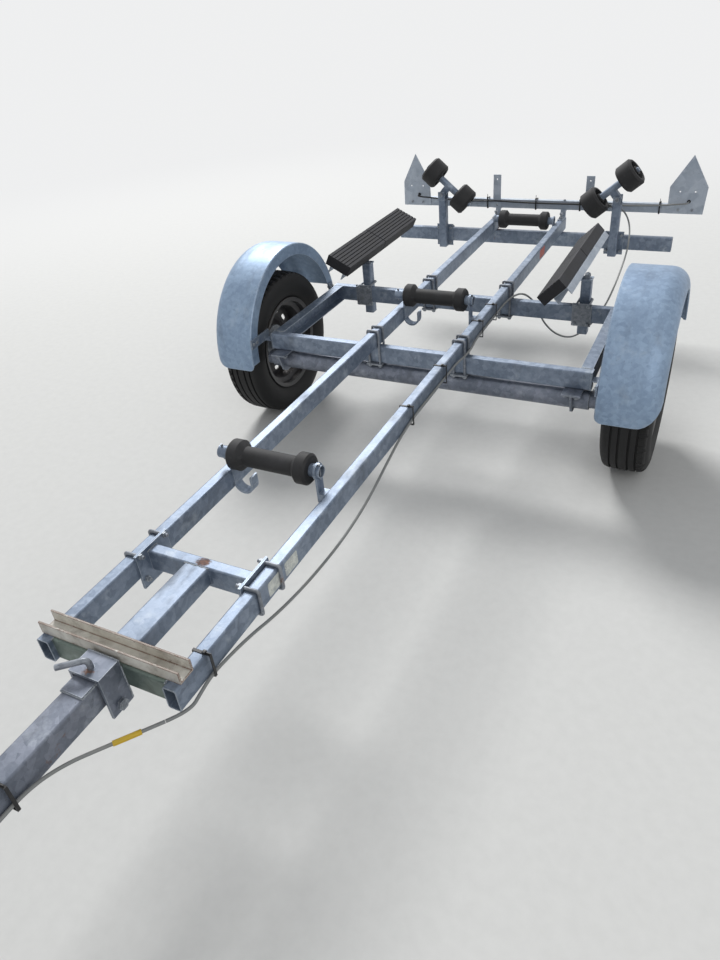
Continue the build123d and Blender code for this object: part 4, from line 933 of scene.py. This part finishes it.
class Finish:
    """A material with one Principled shader and the nodes that feed it."""

    def __init__(self, name, metallic=0.0, roughness=0.6):
        self.material = bpy.data.materials.new(name)
        self.material.use_nodes = True
        FINISHES[name] = self.material
        self.tree = self.material.node_tree
        self.shader = self.tree.nodes["Principled BSDF"]
        self.shader.inputs["Metallic"].default_value = metallic
        self.shader.inputs["Roughness"].default_value = roughness

    def node(self, kind, settings=None, sockets=None, output=0):
        made = self.tree.nodes.new(kind)
        for name, value in (settings or {}).items():
            setattr(made, name, value)
        for name, value in (sockets or {}).items():
            self.feed(made.inputs[name], value)
        return Wire(self, made.outputs[output])

    def feed(self, socket, value):
        if isinstance(value, Wire):
            self.tree.links.new(value.socket, socket)
        else:
            socket.default_value = value

    def place(self, scale=(1, 1, 1)):
        own = self.node("ShaderNodeTexCoord", output="Object")
        return self.node("ShaderNodeMapping", {}, {"Vector": own, "Scale": scale})

    def clouds(self, size, detail=4.0, roughness=0.55, stretch=(1, 1, 1)):
        sockets = {"Vector": self.place(stretch), "Scale": 1 / size}
        sockets.update({"Detail": detail, "Roughness": roughness})
        return self.node("ShaderNodeTexNoise", {}, sockets)

    def cut(self, value, low, high):
        sockets = {"Value": value, "From Min": low, "From Max": high}
        return self.node("ShaderNodeMapRange", {"interpolation_type": "SMOOTHSTEP"}, sockets)

    def blend(self, factor, first, second):
        sockets = {0: factor, 6: first, 7: second}
        return self.node("ShaderNodeMix", {"data_type": "RGBA"}, sockets, output=2)

    def edges(self, width):
        soft = self.node("ShaderNodeBevel", {"samples": 4}, {"Radius": width})
        true = self.node("ShaderNodeNewGeometry", output="Normal")
        dot = {"operation": "DOT_PRODUCT"}
        along = self.node("ShaderNodeVectorMath", dot, {0: soft, 1: true}, output=1)
        return self.cut(1 - along, 0.01, 0.12)

    def near(self, spot, reach):
        """A soft round mask about a point of the plan, in millimetres."""
        minus, times = {"operation": "SUBTRACT"}, {"operation": "MULTIPLY"}
        moved = self.node(
            "ShaderNodeVectorMath", minus, {0: self.place(), 1: row_point((*spot, 0))},
        )
        flat = self.node("ShaderNodeVectorMath", times, {0: moved, 1: (1, 1, 0)})
        far = self.node("ShaderNodeVectorMath", {"operation": "LENGTH"}, {0: flat}, output=1)
        return 1 - self.cut(far, 0, reach / 1000)

    def upward(self):
        true = self.node("ShaderNodeNewGeometry", output="Normal")
        return self.node("ShaderNodeSeparateXYZ", {}, {0: true}, output=2)

    def bump(self, height, depth, strength=1.0):
        sockets = {"Height": height, "Distance": depth, "Strength": strength}
        self.feed(self.shader.inputs["Normal"], self.node("ShaderNodeBump", {}, sockets))

    def finish(self, colour, roughness=None, metallic=None):
        self.feed(self.shader.inputs["Base Color"], colour)
        if roughness is not None:
            self.feed(self.shader.inputs["Roughness"], roughness)
        if metallic is not None:
            self.feed(self.shader.inputs["Metallic"], metallic)
        return self.material


def shade(red, green, blue):
    """A colour as it shows on screen, turned into the linear one that the shader takes."""
    screen = (red, green, blue)
    return tuple(((c + 0.055) / 1.055) ** 2.4 if c > 0.04 else c / 12.92 for c in screen) + (1,)


print("white is", shade(1, 1, 1))

# %% [markdown]
# ## Hot-dip galvanised steel
# Zinc freezes on steel in flat crystals, the spangle, each turned its own way and so
# a little lighter or darker. Years of rain dull it and leave chalky white rust, grime
# gathers in streaks along the steel, fine dark specks show where salt sat, and thin
# spots let brown rust through. Edges are painted brighter, partly as rubbed zinc and
# partly as a painted highlight. Each of these is one mask.

# %% Galvanised finishes
RUST = shade(0.50, 0.33, 0.21)
DARK_RUST = shade(0.30, 0.19, 0.13)
GRIME = shade(0.24, 0.235, 0.22)
# the pale colour of white rust, also used for the painted highlight on the edges
CHALK_AND_HIGHLIGHT = shade(0.80, 0.83, 0.85)


def galvanised(name, light, dark, spangle, grime, rust, chalk, rusty):
    zinc = Finish(name, metallic=0.5)
    crystals = zinc.node(
        "ShaderNodeTexVoronoi", {}, {"Vector": zinc.place(), "Scale": 1 / spangle}, output=1,
    )
    turn = zinc.node("ShaderNodeSeparateColor", {}, {0: crystals})
    patches = zinc.clouds(0.22, 5)
    fine = zinc.clouds(0.012, 6, 0.7)
    tone = zinc.cut(patches * 0.5 + turn * 0.18 + fine * 0.32, 0.25, 0.82)
    colour = zinc.blend(tone, dark, light)
    white = zinc.cut(zinc.clouds(0.055, 6, 0.7), 0.54, 0.72) * chalk
    colour = zinc.blend(white, colour, CHALK_AND_HIGHLIGHT)
    # the edges are painted lighter: partly rubbed zinc, partly a painted highlight
    rubbed_and_highlit = zinc.edges(0.003) * 0.5
    colour = zinc.blend(rubbed_and_highlit, colour, CHALK_AND_HIGHLIGHT)
    streaks = zinc.clouds(0.05, 5, 0.6, (1, 0.3, 0.4))
    dirt = zinc.cut(streaks, 0.5, 0.8) * grime
    colour = zinc.blend(dirt, colour, GRIME)
    salted = zinc.cut(zinc.clouds(0.1, 4), 0.4, 0.62)
    specks = zinc.cut(zinc.clouds(0.0045, 3, 0.6), 0.66, 0.72) * salted
    colour = zinc.blend(specks * 0.55, colour, GRIME)
    cells = zinc.clouds(0.09, 8, 0.72) + turn * 0.02
    for spot, reach in rusty:
        cells = cells + zinc.near(spot, reach) * 0.3
    brown = zinc.cut(cells, 0.74 - rust * 0.12, 0.82 - rust * 0.12)
    tint = zinc.blend(zinc.cut(zinc.clouds(0.008, 5, 0.7), 0.4, 0.62), RUST, DARK_RUST)
    colour = zinc.blend(brown * 0.85, colour, tint)
    rough = 0.44 + turn * 0.08 + dirt * 0.4 + white * 0.3 + brown * 0.3
    zinc.bump(fine * 0.4 + turn * 0.12 - brown * 0.5 - specks * 0.3, 0.0006, 0.55)
    return zinc.finish(colour, rough, 0.52 - 0.45 * brown - 0.35 * dirt)


# light and dark colour, size of the crystals, then the shares of grime, rust and chalk
ZINCS = {
    "rail_zinc": ((0.59, 0.635, 0.70), (0.38, 0.43, 0.50), 0.014, 0.35, 0.3, 0.3),
    "guard_zinc": ((0.61, 0.695, 0.79), (0.48, 0.56, 0.66), 0.012, 0.25, 0.05, 0.15),
    "old_zinc": ((0.555, 0.575, 0.625), (0.36, 0.39, 0.44), 0.016, 0.4, 0.55, 0.2),
    "green_zinc": ((0.50, 0.55, 0.52), (0.33, 0.38, 0.36), 0.016, 0.6, 0.7, 0.2),
    "bolt_zinc": ((0.64, 0.66, 0.69), (0.40, 0.42, 0.45), 0.008, 0.45, 0.8, 0.2),
    "plate_zinc": ((0.74, 0.77, 0.81), (0.60, 0.64, 0.69), 0.03, 0.2, 0.1, 0.5),
    "weld_zinc": ((0.56, 0.58, 0.61), (0.34, 0.36, 0.39), 0.006, 0.5, 1.0, 0.1),
}
# where it has rusted through: a place in the plan and the spot's reach, in millimetres
RUSTY = {
    "rail_zinc": [((6, 298), 44), ((-152, 2860), 60)],
    "old_zinc": [((-22, -262), 55), ((0, -28), 36)],
}
for name, (light, dark, *shares) in ZINCS.items():
    galvanised(name, shade(*light), shade(*dark), *shares, RUSTY.get(name, []))
print("galvanised finishes:", sorted(FINISHES))

# %% [markdown]
# ## Cream paint on the bow channel
# The channel that catches the boat's bow was painted cream over the zinc. Its edges
# are worn down to rust, so a Bevel node finds the edges and noise breaks them up.

# %% Cream paint
def cream_paint():
    paint = Finish("cream_paint", roughness=0.55)
    patches = paint.clouds(0.08, 6, 0.65)
    pale = paint.cut(patches, 0.3, 0.7)
    colour = paint.blend(pale, shade(0.70, 0.68, 0.64), shade(0.86, 0.85, 0.82))
    grime = paint.cut(paint.clouds(0.03, 6, 0.7), 0.46, 0.76) * 0.55
    colour = paint.blend(grime, colour, shade(0.38, 0.34, 0.30))
    worn = paint.edges(0.005) * paint.cut(paint.clouds(0.012, 6, 0.7), 0.33, 0.46)
    chips = paint.cut(paint.clouds(0.025, 8, 0.75), 0.62, 0.67)
    bare = worn.maths("MAXIMUM", worn, chips)
    colour = paint.blend(bare, colour, shade(0.38, 0.22, 0.14))
    paint.bump(patches * 0.3 - bare, 0.0008, 0.7)
    return paint.finish(colour, 0.5 + bare * 0.35)


print("bow channel:", cream_paint().name)

# %% [markdown]
# ## Film of the labels
# A label fades in patches. Noise sets its Alpha, so a few holes are scraped through
# it, more of them in the two pale ones at the front than in the red one.

# %% Label finishes
def label_film(name, colour, faded, left):
    film = Finish(name, roughness=0.5)
    patches = film.clouds(0.02, 6, 0.7)
    kept = film.cut(film.clouds(0.012, 6, 0.75), 0.62 - left, 0.68 - left)
    film.feed(film.shader.inputs["Alpha"], kept)
    film.bump(patches, 0.0003, 0.4)
    tint = film.blend(film.cut(patches, 0.35, 0.7), colour, faded)
    return film.finish(tint, 0.45 + patches * 0.2)


red_film = label_film("red_film", shade(0.62, 0.20, 0.16), shade(0.74, 0.42, 0.36), 0.4)
pale_film = label_film("pale_film", shade(0.84, 0.85, 0.82), shade(0.66, 0.68, 0.68), 0.26)
print("labels:", red_film.name, pale_film.name)

# %% [markdown]
# ## Rubber, plastic and black paint
# Old rubber is never black: sun and dust turn it grey, most on what faces the sky.

# %% Rubber, plastic and paint
def rubber(name, dark, dusty, dust, grain, roughness):
    skin = Finish(name, roughness=roughness)
    grains = skin.clouds(grain, 3)
    patches = skin.clouds(0.06, 5, 0.6)
    scuffs = skin.cut(skin.clouds(0.02, 6, 0.7, (1, 0.2, 1)), 0.56, 0.7)
    settled = skin.cut(skin.upward(), -0.2, 1.0) * skin.cut(patches, 0.3, 0.75) * dust
    colour = skin.blend(settled, dark, dusty)
    colour = skin.blend(scuffs * dust * 0.5, colour, dusty)
    skin.bump(grains * 0.6 + patches * 0.4, 0.0004, 0.5)
    return skin.finish(colour, roughness + settled * 0.2)


# clean and dusty colour, share of dust, size of the grain in metres, roughness
RUBBERS = {
    "roller_rubber": ((0.09, 0.09, 0.095), (0.30, 0.30, 0.31), 0.5, 0.004, 0.7),
    "pad_rubber": ((0.10, 0.10, 0.115), (0.26, 0.265, 0.29), 0.5, 0.004, 0.7),
    "tyre_rubber": ((0.035, 0.035, 0.04), (0.17, 0.165, 0.165), 0.3, 0.004, 0.7),
    "black_plastic": ((0.08, 0.08, 0.085), (0.25, 0.25, 0.25), 0.3, 0.002, 0.45),
    "cable_sheath": ((0.50, 0.51, 0.51), (0.62, 0.61, 0.58), 0.4, 0.002, 0.5),
    "yellow_plastic": ((0.80, 0.66, 0.12), (0.66, 0.58, 0.25), 0.4, 0.002, 0.45),
    "rim_paint": ((0.20, 0.20, 0.21), (0.36, 0.33, 0.31), 0.7, 0.003, 0.42),
}
for name, (dark, dusty, *rest) in RUBBERS.items():
    rubber(name, shade(*dark), shade(*dusty), *rest)
print("the scene's finishes:", len(FINISHES))

# %% [markdown]
# ## Finishes on the frame
# Each node of the frame takes one finish from the first table, and each new piece one
# from the second. The rails and beams share one zinc, the drawbar and the axle are
# duller, and the mudguards and the light board are paler.

# %% Finishes by node
FINISH_OF = {
    "rail_zinc": [
        "rails", "h_crossmember", "centre_tube", "axle_beam", "rear_beam", "tail_beam",
        "side_channels", "keel_frames", "bunk_post_left", "bunk_post_right",
        "wobble_post_left", "wobble_post_right", "cradle_left", "cradle_right",
        "guard_brackets",
    ],
    "old_zinc": [
        "drawbar", "hinge_bracket", "axle_tube", "axle_brackets", "swing_arms",
        "jockey_clamp", "coupling_head",
    ],
    "green_zinc": ["front_crossmember"],
    "bolt_zinc": [
        "u_bolts", "clamp_plates", "hinge_pins", "hub_left", "hub_right", "jockey_tube",
        "jockey_stem", "jockey_fork",
    ],
    "plate_zinc": ["light_bar", "lamp_plates"],
    "cream_paint": ["bow_channel"],
    "roller_rubber": [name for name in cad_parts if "roller" in name] + ["jockey_wheel"],
    "black_plastic": ["plug", "cable_ties", "drawbar_ties"],
    "rim_paint": ["rim_left", "rim_right"],
}
PIECES_OF = {
    "guard_zinc": rolled_guards + guard_beads,
    "bolt_zinc": wheel_nuts + [bed_fasteners, spindle_pins] + bunk_screws,
    "plate_zinc": bunk_backs,
    "rail_zinc": [keel_hooks],
    "weld_zinc": weld_beads,
    "tyre_rubber": tyres,
    "pad_rubber": bunk_pads,
    "black_plastic": tie_heads + [board_ties, splice, black_lead],
    "cable_sheath": [drawbar_lead, bed_lead, grey_lead],
    "yellow_plastic": [sleeve],
    "red_film": [red_label],
    "pale_film": pale_labels,
}


def give_finish(data, material):
    data.materials.clear()
    data.materials.append(material)


for name, nodes in FINISH_OF.items():
    for node in nodes:
        give_finish(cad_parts[node].data, FINISHES[name])
for name, pieces in PIECES_OF.items():
    for piece in pieces:
        give_finish(piece.data, FINISHES[name])
dressed = {node for nodes in FINISH_OF.values() for node in nodes}
print("nodes without a finish, all replaced:", sorted(set(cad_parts) - dressed))

# %% [markdown]
# ## The floor's finish
# Near the object the floor is a matt surface that takes its shadow. Further out it
# blends into an even emission of the backdrop's own colour, so no horizon shows.

# %% Floor finish
FADE_START = 2.4
FADE_END = 7.0


def add_floor_finish():
    matt = Finish("floor_finish", roughness=0.95)
    tree = matt.tree
    far = matt.node("ShaderNodeVectorMath", {"operation": "LENGTH"}, {0: matt.place()}, output=1)
    grain = matt.clouds(0.03, 4)
    matt.finish(matt.blend(grain, shade(0.80, 0.80, 0.79), shade(0.84, 0.84, 0.83)))
    glow = tree.nodes.new("ShaderNodeEmission")
    glow.inputs["Color"].default_value = BACKDROP
    mix = tree.nodes.new("ShaderNodeMixShader")
    seen = Wire(matt, seen_ray(tree))
    matt.feed(mix.inputs[0], matt.cut(far, FADE_START, FADE_END) * seen)
    tree.links.new(matt.shader.outputs[0], mix.inputs[1])
    tree.links.new(glow.outputs[0], mix.inputs[2])
    tree.links.new(mix.outputs[0], tree.nodes["Material Output"].inputs["Surface"])
    return matt.material


floor.data.materials.append(add_floor_finish())
